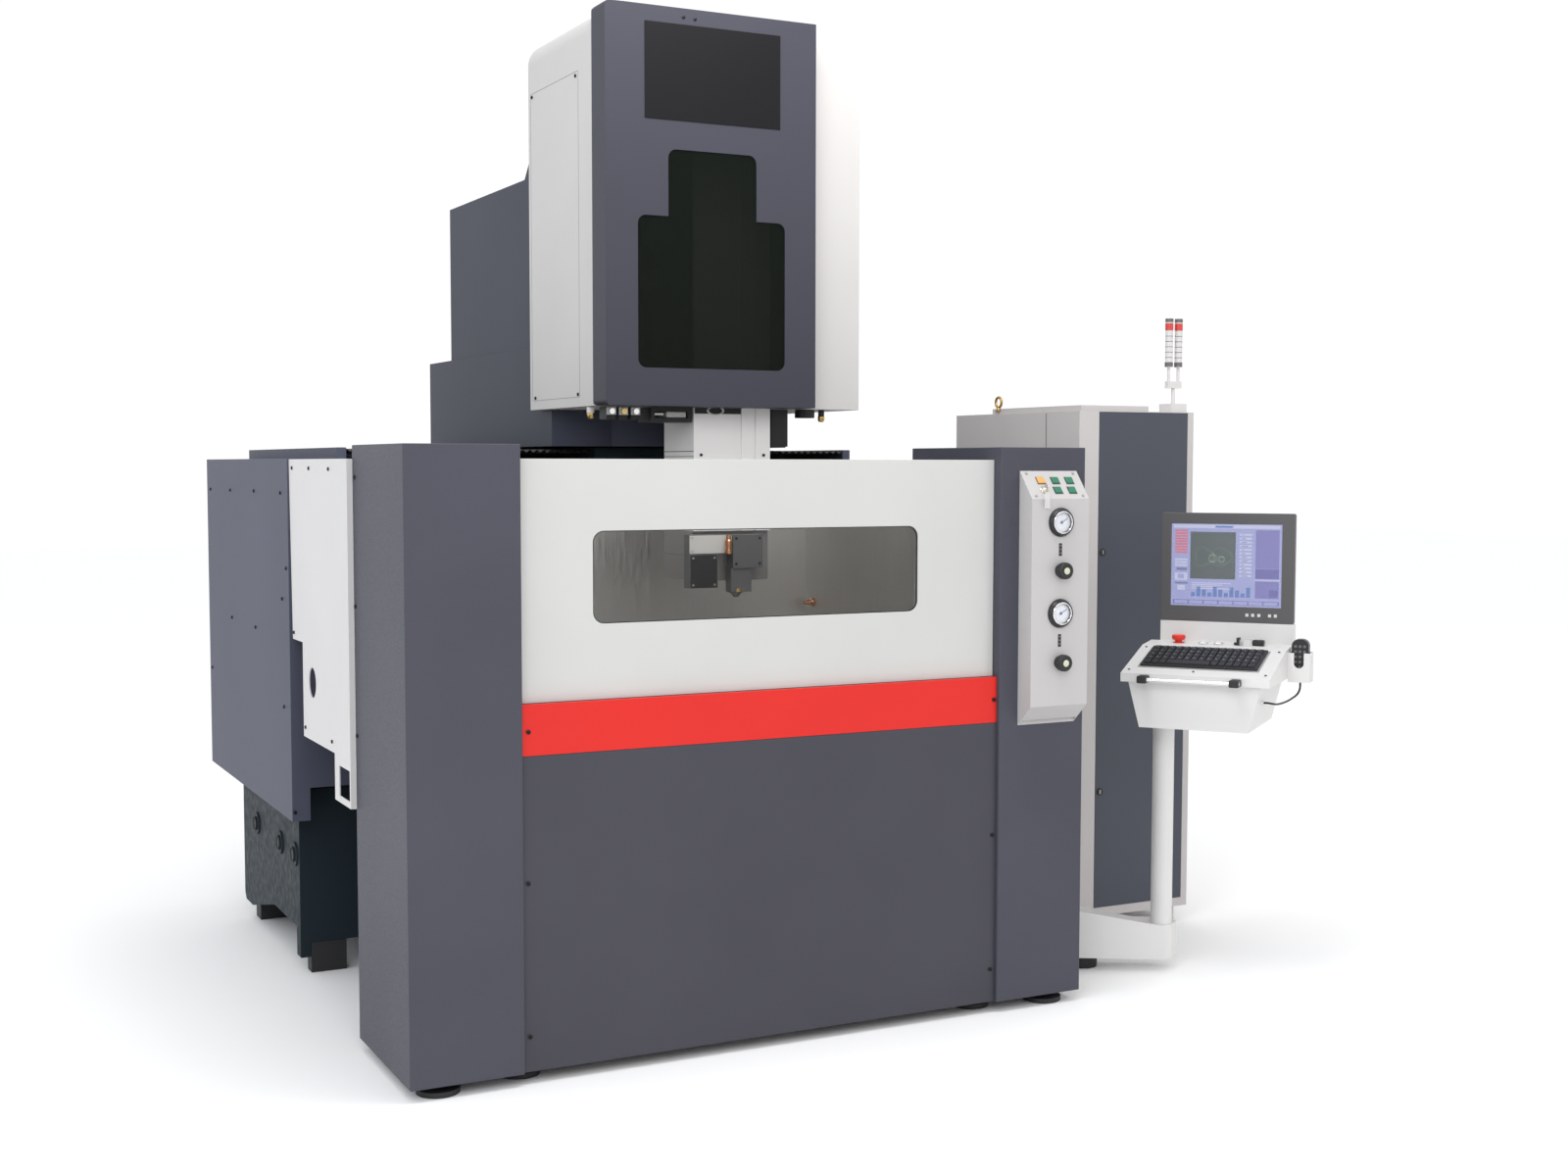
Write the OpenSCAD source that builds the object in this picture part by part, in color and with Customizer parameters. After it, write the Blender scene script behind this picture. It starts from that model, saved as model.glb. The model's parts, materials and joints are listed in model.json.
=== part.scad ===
// Wire EDM machine with a moving column, a drop-down tank door and a swivelling console.
// X runs along the front, Y to the back, Z up. Lengths are in millimetres.
// The modules use the front left lower corner of the left pillar as their corner of reference,
// and in_row() moves everything so that the origin lies under the middle of the machine.

/* [Front enclosure] */
// Width over both front pillars
front_w = 1893; // [1750:1:2100]
// Width of the left pillar
left_pillar_w = 280; // [240:1:290]
// Width of the right pillar
right_pillar_w = 273; // [240:1:290]
// Depth of the pillars
pillar_d = 460; // [400:1:520]
// Height of the pillars
pillar_h = 1500; // [1480:1:1502]
// Height of the lower front panel
front_panel_h = 762; // [700:1:780]
// Height of the red stripe panel
stripe_h = 123; // [80:1:140]
// Height of the tank door
tank_door_h = 581; // [500:1:590]
// Depth that the front panels lie behind the pillar faces
panel_recess = 12; // [4:1:14]
// Thickness of folded front panels
panel_fold = 16; // [10:1:17]
// Depth that the tank door lies behind the pillar faces
tank_door_recess = 32; // [31:1:36]
// Thickness of the tank door
tank_door_t = 38; // [30:1:40]
// Gap between the floor and the casings
floor_gap = 30; // [20:1:50]
// Sheet thickness of the casings
sheet = 3; // [2:0.5:4]

/* [Door window] */
// Left edge of the window, from the left side of the machine
window_x = 472; // [400:1:520]
// Width of the window
window_w = 910; // [700:1:980]
// Height of the window
window_h = 224; // [180:1:260]
// Height of the window's lower edge over the door's lower edge
window_up = 184; // [120:1:220]
// Corner radius of the window
window_r = 28; // [15:1:60]
// Thickness of the window pane
pane_t = 10; // [6:1:14]

/* [Tank and table] */
// Gap on each side between the tank's inner face and the pillar
tank_side = 20; // [16:1:26]
// Inner depth of the work tank
tank_d = 1000; // [960:1:1000]
// Height of the tank's rim
tank_top = 1460; // [1420:1:1462]
// Height of the tank's floor
tank_floor = 740; // [738:1:745]
// Wall thickness of the tank
tank_wall = 4; // [3:0.5:5]
// Height of the clamping face of the work table
table_top = 880; // [872:1:884]
// Width of a table bar
table_bar_w = 76; // [60:1:77]
// Diameter of the threaded clamping holes
clamp_hole_d = 8.5; // [6:0.1:12]

/* [Base and guideway] */
// Left edge of the rear bed
bed_x = 28; // [22:1:40]
// Front face of the rear bed
bed_y = 1241; // [1225:1:1260]
// Depth of the rear bed
bed_d = 809; // [790:1:830]
// Height of the rear bed's ways
bed_top = 560; // [550:1:566]
// Height of the rear bed beside the ways
bed_h = 512; // [490:1:530]
// Width that the front base reaches behind each pillar
base_lap = 46; // [30:1:60]
// Front face of the front base
base_y = 90; // [84:1:110]
// Wall thickness of the castings
cast_wall = 30; // [20:1:40]
// Diameter of the levelling feet
foot_d = 105; // [80:1:120]

/* [Covers] */
// Depth that the end covers stand out past the pillars
cover_out = 20; // [18:1:30]
// Width of an end cover
cover_w = 167; // [150:1:172]
// Front face of the end covers
cover_y = 1104; // [1100:1:1110]
// Rear face of the end covers
cover_rear = 2331; // [2320:1:2360]
// Lower edge of the end covers
cover_low = 445; // [430:1:470]
// Upper edge of the end covers
cover_top = 1468; // [1460:1:1469]
// Depth that the white side panels stand out past the pillars
side_out = 15; // [10:1:18]
// Upper edge of the side panels
side_top = 1466; // [1464:1:1467]
// Diameter of the round hole in the left side panel
side_hole_d = 82; // [60:1:90]

/* [Moving column] */
// Place of the column and the quill at rest, from the right pillar's inner face
mid_in = 482; // [480:1:484]
// Travel of the X axis to the left
x_left = 650; // [600:1:655]
// Travel of the X axis to the right
x_right = 300; // [250:1:305]
// Width of the saddle and its roof frame
saddle_w = 498; // [494:1:500]
// Width of the column
column_w = 470; // [440:1:472]
// Depth of the column
column_d = 490; // [440:1:492]
// Front face of the column
column_y = 1560; // [1559:1:1562]
// Height of the lower column cover's underside
cover_box_z = 1506; // [1505:1:1508]
// Height of the lower column cover
cover_box_h = 300; // [250:1:330]
// Width of the lower column cover
cover_box_w = 776; // [720:1:790]
// Height of the upper column cover's top
cover_peak = 2320; // [2300:1:2380]
// Radius of the rounded nose under the head
nose_r = 312; // [300:1:318]
// Diameter of the lower arm
arm_d = 90; // [80:1:92]

/* [Head] */
// Width of the head cabinet
head_w = 835; // [825:1:850]
// Front face of the head cabinet
head_y = 648; // [647:1:649]
// Depth of the head cabinet
head_d = 512; // [506:1:514]
// Underside of the head cabinet
head_z = 1613; // [1612.5:0.5:1616]
// Height of the head cabinet
head_h = 1075; // [1060:1:1090]
// Radius of the head cabinet's upper long edges
head_r = 66; // [40:1:75]
// Width of the head door
head_door_w = 638; // [620:1:650]
// Depth of the head door
head_door_d = 98; // [96:1:104]
// Width of the quill
quill_w = 241; // [230:1:244]
// Front face of the quill
quill_y = 650; // [648:1:652]
// Depth of the quill
quill_d = 210; // [200:1:210]
// Underside of the quill
quill_z = 1264; // [1263:1:1270]
// Height of the quill
quill_h = 1060; // [1040:1:1070]
// Diameter of the wire supply spool
spool_d = 160; // [120:1:164]
// Diameter of the guide pulley
guide_d = 84; // [60:1:88]
// Diameter of the tension pulley
tension_d = 60; // [40:1:62]

/* [Control cabinet] */
// Gap between the machine and the control cabinet
cabinet_gap = 415; // [407:1:447]
// Front face of the control cabinet
cabinet_y = 600; // [598:1:640]
// Width of the control cabinet
cabinet_w = 448; // [430:1:460]
// Depth of the control cabinet
cabinet_d = 712; // [650:1:750]
// Upper face of the control cabinet
cabinet_top = 1622; // [1560:1:1650]
// Lower edge of the control cabinet
cabinet_low = 20; // [15:1:60]
// Width of the cabinet door
cabinet_door_w = 347; // [330:1:348]

/* [Flushing box] */
// Gap between the flushing box and the right side of the machine
flush_in = 30; // [25:1:37]
// Width of the flushing box
flush_w = 184; // [176:1:192]
// Depth of the flushing box
flush_d = 60; // [56:1:64]
// Lower edge of the flushing box
flush_low = 752; // [745:1:760]
// Upper edge of the flushing box
flush_top = 1437; // [1430:1:1450]
// Height of the slanted upper face
flush_slope_h = 74; // [72:1:80]
// Diameter of a gauge bezel
gauge_d = 78; // [70:1:84]
// Diameter of a gauge dial
dial_d = 54; // [44:1:56]
// Diameter of a regulator knob
knob_d = 44; // [36:1:50]

/* [Console] */
// Distance of the console's pole from the right side of the machine
pole_out = 409; // [402:1:417]
// Front place of the console's pole
pole_y = 160; // [155:1:165]
// Diameter of the pole
pole_d = 62; // [50:1:66]
// Turn of the console about the pole
console_turn = 52; // [45:1:56]
// Underside of the console
console_z = 705; // [690:1:712]
// Left edge of the keyboard tray
tray_u = -89; // [-95:1:-85]
// Width of the keyboard tray
tray_w = 421; // [416:1:424]
// Front edge of the keyboard tray
tray_v = -160; // [-165:1:-155]
// Depth of the keyboard tray
tray_d = 360; // [355:1:364]
// Underside of the keyboard tray
tray_z = 835; // [832:1:838]
// Height of the monitor
monitor_h = 325; // [300:1:340]
// Width of the monitor
monitor_w = 394; // [380:1:394]
// Diameter of the emergency stop's cap
stop_cap_d = 40; // [34:1:42]

/* [Hidden] */
$fn = 48;

// Overrun of every cut past its face
over = 1;
// Clearance of parts that slide or turn in each other
clear = 0.3;
// Radial clearance of a shaft in its bore
shaft_clear = 0.08;
// Seam between neighbouring casings
seam = 0.4;

// Places of the enclosure
gap_x0 = left_pillar_w;
gap_x1 = front_w - right_pillar_w;
base_x = left_pillar_w - base_lap;
base_w = gap_x1 + base_lap - base_x;
gap_w = gap_x1 - gap_x0;
mid_x = gap_x1 - mid_in;
stripe_z = front_panel_h;
door_z = front_panel_h + stripe_h;
door_back = tank_door_recess + tank_door_t;
tank_x0 = gap_x0 + tank_side;
tank_x1 = gap_x1 - tank_side;
tank_y0 = door_back + 2 * tank_wall;
tank_y1 = tank_y0 + tank_d;
tank_rear = tank_y1 + tank_wall;
bed_w = front_w - 2 * bed_x;
bed_rear = bed_y + bed_d;
cover_in = cover_w - cover_out;
cabinet_x = front_w + cabinet_gap;
pole_x = front_w + pole_out;
flush_x = front_w - flush_in - flush_w;

// Lowest and highest corners of the row, for its origin
row_left = -cover_out;
row_right = cabinet_x + cabinet_w;
tray_corner_u = tray_u + tray_w;
row_front = pole_y - tray_corner_u * sin(console_turn) + tray_v * cos(console_turn);
row_x = (row_left + row_right) / 2;
row_y = (row_front + cover_rear) / 2;

module in_row() {
    translate([-row_x, -row_y, floor_gap]) children();
}

// Block from one corner to the opposite one
module block(low, high) {
    translate(low) cube(high - low);
}

// Closed sheet metal box with walls of one thickness
module sheet_box(low, high, t) {
    wall = [t, t, t];
    difference() {
        block(low, high);
        block(low + wall, high - wall);
    }
}

// Folded tray of sheet metal, open towards the back
module folded_tray(low, high, t) {
    difference() {
        block(low, high);
        block(low + [t, t, t], high + [-t, over, -t]);
    }
}

// Outline in X and Z, made solid from y to y + t
module upright(y, t) {
    translate([0, y + t, 0]) rotate([90, 0, 0]) linear_extrude(t) children();
}

// Outline in Y and Z, made solid from x to x + t
module across(x, t) {
    translate([x, 0, 0]) rotate([90, 0, 90]) linear_extrude(t) children();
}

// Rectangle with round corners, with its lower left corner at the origin
module round_rect(w, h, r) {
    translate([r, 0]) square([w - 2 * r, h]);
    translate([0, r]) square([w, h - 2 * r]);
    for (x = [r, w - r], y = [r, h - r]) translate([x, y]) circle(r);
}

module rod_x(x, y, z, length, r) {
    translate([x, y, z]) rotate([0, 90, 0]) cylinder(r = r, h = length);
}

module rod_y(x, y, z, length, r) {
    translate([x, y, z]) rotate([-90, 0, 0]) cylinder(r = r, h = length);
}

module rod_z(x, y, z, length, r) {
    translate([x, y, z]) cylinder(r = r, h = length);
}

// The castings
bed_arch_front = 49;
bed_arch_flat = 355;
bed_arch_end = 689;
bed_arch_z = 100;
bed_front_low = 60;
bed_leg_z = 17;
bed_rear_leg_z = 28;
bed_round = 20;
bed_boss_r = 35;
bed_boss_t = 6;
bed_boss_z = 315;
bed_boss_shares = [0.06, 0.3, 0.72];
way_w = 90;
way_inset = 89;
foot_block_x = 30.5;
foot_block_w = 104;
base_step = 160;
base_low = 20;
base_top = tank_floor - tank_wall;
way_front = bed_y + way_inset;
way_rear = bed_rear - way_inset - way_w;

module bed_outline(e) {
    polygon([
        [bed_y + e, bed_leg_z], [bed_y + bed_arch_front - e, bed_leg_z],
        [bed_y + bed_arch_front - e, bed_arch_z + e], [bed_y + bed_arch_flat, bed_arch_z + e],
        [bed_y + bed_arch_end, bed_rear_leg_z + e], [bed_rear - bed_round - e, bed_rear_leg_z + e],
        [bed_rear - e, bed_rear_leg_z + bed_round + e], [bed_rear - e, bed_h - e],
        [bed_y + e, bed_h - e]]);
}

module base_casting() color([0.22, 0.26, 0.31]) in_row() {
    difference() {
        union() {
            across(bed_x, bed_w) bed_outline(0);
            for (y = [way_front, way_rear])
                block([bed_x + cast_wall, y, bed_h - over], [bed_x + bed_w - cast_wall, y + way_w, bed_top]);
            for (s = bed_boss_shares)
                rod_x(bed_x - bed_boss_t, bed_y + s * bed_d, bed_boss_z, bed_w + 2 * bed_boss_t, bed_boss_r);
        }
        block([bed_x + cast_wall, bed_y - over, -over],
            [bed_x + bed_w - cast_wall, bed_y + bed_arch_front + over, bed_front_low]);
        for (x = [bed_x + cast_wall, mid_cell_x(1), mid_cell_x(2)])
            block([x, bed_y + bed_arch_front, -over],
                [x + cell_w, bed_rear - 2 * cast_wall, bed_h - cast_wall]);
    }
    difference() {
        union() {
            block([gap_x0 + seam, base_y, base_low], [gap_x1 - seam, bed_y, base_top]);
            block([base_x, pillar_d + seam, base_low], [base_x + base_w, bed_y, base_top]);
        }
        block([base_x - over, tank_rear, bed_h - base_step], [base_x + base_w + over, bed_y + over, base_top + over]);
        for (i = [0, 1])
            block([gap_x0 + cast_wall + i * (base_cell + cast_wall), base_y + cast_wall, base_low - over],
                [gap_x0 + cast_wall + i * (base_cell + cast_wall) + base_cell, tank_rear - cast_wall, base_top - cast_wall]);
    }
}
cell_w = (bed_w - 4 * cast_wall) / 3;
base_cell = (gap_w - 3 * cast_wall) / 2;
function mid_cell_x(i) = bed_x + cast_wall + i * (cell_w + cast_wall);

// Levelling feet: round pads and the black blocks under the rear bed
foot_r = foot_d / 2;
front_foot_y = 60;
front_foot_x = 84;
base_foot_inset = 20;
rear_foot_inset = 95;
rear_foot_d = 70;
stem_r = 15;
pad_h = 14;
arm_foot_r = 45;
arm_foot_in = 182;
arm_foot_x = pole_x - arm_foot_in;
arm_foot_y = 300;

module round_foot(x, y, top) {
    rod_z(x, y, -floor_gap, pad_h, foot_r);
    rod_z(x, y, -floor_gap, floor_gap + top, stem_r);
}

module levelling_feet() color([0.10, 0.10, 0.11]) in_row() {
    for (x = [front_foot_x, front_w - front_foot_x], y = [front_foot_y, pillar_d - front_foot_y])
        round_foot(x, y, 0);
    for (x = [gap_x0 + base_foot_inset, gap_x1 - base_foot_inset], y = [base_y + cast_wall / 2, bed_y - foot_d])
        round_foot(x, y, base_low);
    for (x = [bed_x + foot_block_x, bed_x + bed_w - foot_block_x - foot_block_w]) {
        block([x, bed_y, -floor_gap], [x + foot_block_w, bed_y + bed_arch_front, bed_front_low]);
        block([x, bed_rear - rear_foot_inset, -floor_gap],
            [x + foot_block_w, bed_rear - rear_foot_inset + rear_foot_d, bed_rear_leg_z]);
    }
    rod_z(arm_foot_x, arm_foot_y, -floor_gap, floor_gap + arm_low, arm_foot_r);
}

module left_pillar() color([0.33, 0.33, 0.37]) in_row()
    sheet_box([0, 0, 0], [left_pillar_w, pillar_d, pillar_h], sheet);

module right_pillar() color([0.33, 0.33, 0.37]) in_row()
    sheet_box([gap_x1, 0, 0], [front_w, pillar_d, pillar_h], sheet);

module front_panel() color([0.30, 0.30, 0.34]) in_row()
    folded_tray([gap_x0 + seam, panel_recess, 0],
        [gap_x1 - seam, panel_recess + panel_fold, front_panel_h - seam], sheet);

module stripe_panel() color([0.88, 0.20, 0.17]) in_row()
    folded_tray([gap_x0 + seam, panel_recess, stripe_z],
        [gap_x1 - seam, panel_recess + panel_fold, stripe_z + stripe_h], sheet);

// White side panels, outlined in Y and Z and inset by e
side_front = 455;
side_step = 1083;
side_neck = 965;
side_neck_z = 966;
side_low = 708;
tab_rear = 618;
tab_low = 588;
tab_hole_y = 465;
tab_hole_w = 108;
tab_hole_z = 605;
tab_hole_h = 78;
side_hole_y = 855;
side_hole_z = 866;

module side_outline(e) {
    polygon([
        [side_front + e, side_top - e], [cover_y - seam - e, side_top - e],
        [side_step - e, side_neck_z + e], [side_neck - e, side_neck_z + e],
        [side_neck - e, side_low + e], [tab_rear - e, side_low + e],
        [tab_rear - e, tab_low + e], [side_front + e, tab_low + e]]);
}

module side_panel() {
    difference() {
        union() {
            difference() {
                across(-side_out, side_out - clear) side_outline(0);
                across(-side_out + sheet, side_out) side_outline(sheet);
            }
            block([-side_out, pillar_d + clear, side_top - sheet],
                [tank_x0 - tank_wall - seam, tank_rear, side_top]);
            block([-side_out, tank_rear - over, side_top - sheet], [cover_in, cover_y - seam, side_top]);
        }
        rod_x(-side_out - over, side_hole_y, side_hole_z, side_out, side_hole_d / 2);
        block([-side_out - over, tab_hole_y, tab_hole_z],
            [0, tab_hole_y + tab_hole_w, tab_hole_z + tab_hole_h]);
    }
}

module side_panels() color([0.88, 0.86, 0.85]) in_row() {
    side_panel();
    translate([front_w, 0, 0]) mirror([1, 0, 0]) side_panel();
}

// Dark covers over both ends of the guideway
cover_notch_x = 52;
cover_notch_h = 93;
cover_lip = 28;
bar_w = 27;
roof_top = 1500;

module end_cover() {
    x0 = -cover_out;
    difference() {
        block([x0, cover_y, cover_low], [cover_in, cover_rear, cover_top]);
        block([x0 + sheet, cover_y + sheet, cover_low - over],
            [cover_in + over, cover_rear - sheet, cover_top - sheet]);
        block([x0 + cover_notch_x, cover_y - over, cover_low - over],
            [cover_in + over, cover_rear + over, cover_low + cover_notch_h]);
    }
    block([cover_in - sheet, cover_y, cover_top - cover_lip], [cover_in, cover_rear, cover_top]);
    block([cover_in - bar_w, cover_y, cover_top], [cover_in, cover_rear, roof_top]);
}

module end_covers() color([0.24, 0.28, 0.33]) in_row() {
    end_cover();
    translate([front_w, 0, 0]) mirror([1, 0, 0]) end_cover();
}

// Rear cover with rows of air slots
slot_count = 9;
slot_w = 120;
slot_h = 8;
slot_pitch = 24;
slot_low = 1120;
slot_share = [0.2, 0.8];

module rear_cover() color([0.26, 0.28, 0.33]) in_row() {
    low = [cover_in + seam, cover_rear - panel_fold, cover_low];
    high = [front_w - cover_in - seam, cover_rear, roof_top];
    difference() {
        block(low, high);
        block(low + [sheet, -over, sheet], high - [sheet, sheet, sheet]);
        for (s = slot_share, i = [0 : slot_count - 1])
            translate([low.x + s * (high.x - low.x) - slot_w / 2, cover_rear - 2 * sheet,
                slot_low + i * slot_pitch])
                cube([slot_w, 3 * sheet, slot_h]);
    }
}

// Work tank, open to the top and the front
arm_r = arm_d / 2;
arm_z = 815;
tank_lip = 14;
slot_margin = 12;
collar_w = 122;
collar_h = 112;
slot_left = mid_x - x_left - collar_w / 2 - slot_margin;
slot_right = mid_x + x_right + collar_w / 2 + slot_margin;

module work_tank() color([0.66, 0.66, 0.67]) in_row() {
    difference() {
        block([tank_x0 - tank_wall, tank_y0 - tank_wall, base_top], [tank_x1 + tank_wall, tank_rear, tank_top]);
        block([tank_x0, tank_y0, tank_floor], [tank_x1, tank_y1, tank_top + over]);
        block([tank_x0, tank_y0 - tank_wall - over, door_z - tank_wall], [tank_x1, tank_y0 + over, tank_top + over]);
        block([slot_left, tank_y1 - over, arm_z - collar_h / 2], [slot_right, tank_rear + over, arm_z + collar_h / 2]);
    }
    for (x = [tank_x0 - tank_lip, tank_x1 + tank_wall])
        block([x, tank_y0 - tank_wall, door_z - tank_wall], [x + tank_lip - tank_wall, tank_y0, tank_top]);
}

// Clamping frame in the tank, open to the back for the lower arm
table_front = 84;
table_bar_h = 60;
table_leg_w = 70;
hole_pitch = 600;
hole_y0 = 280;
table_y1 = 1040;
table_low = table_top - table_bar_h;
left_bar_x = tank_x0 + 14;
right_bar_x = tank_x1 - 14 - table_bar_w;
front_bar_d = 30;

module work_table() color([0.60, 0.61, 0.62]) in_row() {
    difference() {
        union() {
            for (x = [left_bar_x, right_bar_x]) {
                block([x, table_front, table_low], [x + table_bar_w, table_y1, table_top]);
                for (y = [table_front, table_y1 - table_leg_w])
                    block([x, y, tank_floor], [x + table_leg_w, y + table_leg_w, table_low + over]);
            }
            block([left_bar_x, table_front, table_low], [right_bar_x + table_bar_w, table_front + front_bar_d, table_top]);
        }
        for (x = [left_bar_x, right_bar_x], y = [hole_y0, hole_y0 + hole_pitch])
            rod_z(x + table_bar_w / 2, y, table_low - over, table_bar_h + 2 * over, clamp_hole_d / 2);
    }
}

// Guideway of the X axis: two profile rails, the screw's bearings and its motor
rail_w = 45;
rail_h = 38;
rail_waist = 5;
rail_x0 = 110;
rail_x1 = front_w - rail_x0;
rail_front = way_front + (way_w - rail_w) / 2;
rail_rear = way_rear + (way_w - rail_w) / 2;
screw_r = 20;
x_screw_y = (rail_front + rail_rear + rail_w) / 2;
x_screw_z = 602;
bearing_w = 90;
bearing_d = 50;
journal_r = 15;
x_screw_x0 = 170;
x_screw_x1 = front_w - 200;
motor_w = 70;
motor_l = 90;

module rail_outline(waist) {
    polygon([[0, 0], [rail_w, 0], [rail_w, rail_h / 3], [rail_w - waist, rail_h / 2],
        [rail_w, 2 * rail_h / 3], [rail_w, rail_h], [0, rail_h], [0, 2 * rail_h / 3],
        [waist, rail_h / 2], [0, rail_h / 3]]);
}

module x_guideway() color([0.62, 0.63, 0.65]) in_row() {
    for (y = [rail_front, rail_rear])
        across(rail_x0, rail_x1 - rail_x0) translate([y, bed_top]) rail_outline(rail_waist);
    difference() {
        union() {
            for (x = [x_screw_x0, x_screw_x1 - bearing_d])
                block([x, x_screw_y - bearing_w / 2, bed_h], [x + bearing_d, x_screw_y + bearing_w / 2,
                    x_screw_z + bearing_d / 2]);
            block([x_screw_x1, x_screw_y - motor_w / 2, x_screw_z - motor_w / 2],
                [x_screw_x1 + motor_l, x_screw_y + motor_w / 2, x_screw_z + motor_w / 2]);
        }
        rod_x(x_screw_x0 - over, x_screw_y, x_screw_z, x_screw_x1 - x_screw_x0 + over, journal_r + shaft_clear);
    }
}

module x_screw() color([0.72, 0.72, 0.74]) in_row() {
    rod_x(x_screw_x0 + bearing_d + clear, x_screw_y, x_screw_z, x_screw_x1 - x_screw_x0 - 2 * bearing_d - 2 * clear, screw_r);
    rod_x(x_screw_x0, x_screw_y, x_screw_z, x_screw_x1 - x_screw_x0 - clear, journal_r);
}

// Saddle: slab on four carriages, Y rails, splash plates at both ends and the roof frame
saddle_x0 = mid_x - saddle_w / 2;
saddle_x1 = mid_x + saddle_w / 2;
saddle_z = 640;
saddle_h = 75;
plate_gap = 4;
plate_t = 7;
saddle_front = tank_rear + plate_gap;
saddle_rear = 2247;
carriage_l = 120;
carriage_over = 20;
carriage_lift = 7;
carriage_h = saddle_z - bed_top - carriage_lift;
frame_z = 1470;
frame_top = 1503;
frame_w = 10;
y_rail_inset = 60;
y_rail_z = saddle_z + saddle_h;
y_screw_z = saddle_z + saddle_h + 26;
nut_w = 100;
column_rear = column_y + column_d;
collar_front = tank_y1 - 15;

module carriage_outline() {
    difference() {
        translate([-carriage_over, carriage_lift]) square([rail_w + 2 * carriage_over, carriage_h]);
        translate([-clear, -over]) square([rail_w + 2 * clear, rail_h + over + clear]);
    }
}

module saddle() color([0.42, 0.45, 0.48]) in_row() difference() {
    union() {
        block([saddle_x0, saddle_front, saddle_z], [saddle_x1, saddle_rear, saddle_z + saddle_h]);
        for (x = [saddle_x0, saddle_x1 - carriage_l], y = [rail_front, rail_rear])
            across(x, carriage_l) translate([y, bed_top]) carriage_outline();
        for (y = [saddle_front, saddle_rear - plate_t])
            block([saddle_x0, y, saddle_z], [saddle_x1, y + plate_t, frame_top]);
        for (x = [saddle_x0, saddle_x1 - frame_w])
            block([x, saddle_front, frame_z], [x + frame_w, saddle_rear, frame_top]);
        for (x = [saddle_x0 + y_rail_inset, saddle_x1 - y_rail_inset - rail_w])
            translate([x, 0, 0]) upright(saddle_front + plate_t, saddle_rear - saddle_front - 2 * plate_t)
                translate([0, y_rail_z]) rail_outline(rail_waist);
        block([mid_x - carriage_l / 2, x_screw_y - nut_w / 2, x_screw_z - nut_w / 2 + over],
            [mid_x + carriage_l / 2, x_screw_y + nut_w / 2, saddle_z + over]);
        for (y = [saddle_front + plate_t, saddle_rear - plate_t - bearing_d])
            block([mid_x - bearing_w / 2, y, y_rail_z - over], [mid_x + bearing_w / 2, y + bearing_d, y_screw_z + journal_r + plate_t]);
        block([mid_x - collar_w / 2, collar_front, arm_z - collar_h / 2 + clear],
            [mid_x + collar_w / 2, saddle_front + over, arm_z + collar_h / 2 - clear]);
    }
    rod_x(saddle_x0, x_screw_y, x_screw_z, saddle_w, screw_r + shaft_clear);
    rod_y(mid_x, saddle_front + plate_t, y_screw_z, saddle_rear - saddle_front - 2 * plate_t, journal_r + shaft_clear);
    rod_y(mid_x, collar_front - over, arm_z, plate_t + saddle_front - collar_front + 2 * over, arm_r + clear);
}

module y_screw() color([0.72, 0.72, 0.74]) in_row() {
    y0 = saddle_front + plate_t;
    y1 = saddle_rear - plate_t;
    rod_y(mid_x, y0 + clear, y_screw_z, y1 - y0 - 2 * clear, journal_r);
}

// Roof bellows beside the roof frame and the smaller ones beside the arm's collar
bellows_pitch = 37;
bellows_t = 22;
bellows_dip = 8;
bellows_gap = 0.4;
arm_bellows_t = 12;
arm_pitch = 24;

module roof_bellows(x0, x1) {
    n = floor((x1 - x0) / bellows_pitch);
    p = (x1 - x0) / n;
    points = concat([[x0, roof_top - bellows_t]], [for (i = [0 : 2 * n])
        [x0 + i * p / 2, roof_top - (i % 2 == 0 ? bellows_dip : 0)]], [[x1, roof_top - bellows_t]]);
    upright(cover_y, cover_rear - panel_fold - cover_y - clear) polygon(points);
}

module arm_bellows(x0, x1) {
    n = floor((x1 - x0) / arm_pitch);
    p = (x1 - x0) / n;
    y1 = tank_y1 - clear;
    points = concat([[x0, y1]], [for (i = [0 : 2 * n])
        [x0 + i * p / 2, y1 - (i % 2 == 0 ? arm_bellows_t / 2 : arm_bellows_t)]], [[x1, y1]]);
    translate([0, 0, arm_z - collar_h / 2]) linear_extrude(collar_h) polygon(points);
}

module way_bellows() color([0.09, 0.09, 0.10]) in_row() {
    roof_bellows(cover_in + bellows_gap, saddle_x0 - bellows_gap);
    roof_bellows(saddle_x1 + bellows_gap, front_w - cover_in - bellows_gap);
    arm_bellows(slot_left, mid_x - collar_w / 2 - bellows_gap);
    arm_bellows(mid_x + collar_w / 2 + bellows_gap, slot_right);
}

// Column casting on its Y carriages, with the ram that carries the quill
column_x0 = mid_x - column_w / 2;
column_z = y_rail_z + carriage_h + carriage_lift;
ram_w = 277;
ram_low = 1620;
ram_top = 2250;
z_rail_w = 30;
z_rail_h = 26;
ram_y = quill_y + quill_d + z_rail_h + clear;
upper_w = 560;
upper_z = 1620;
upper_top = 2260;
upper_y = 1200;

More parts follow.
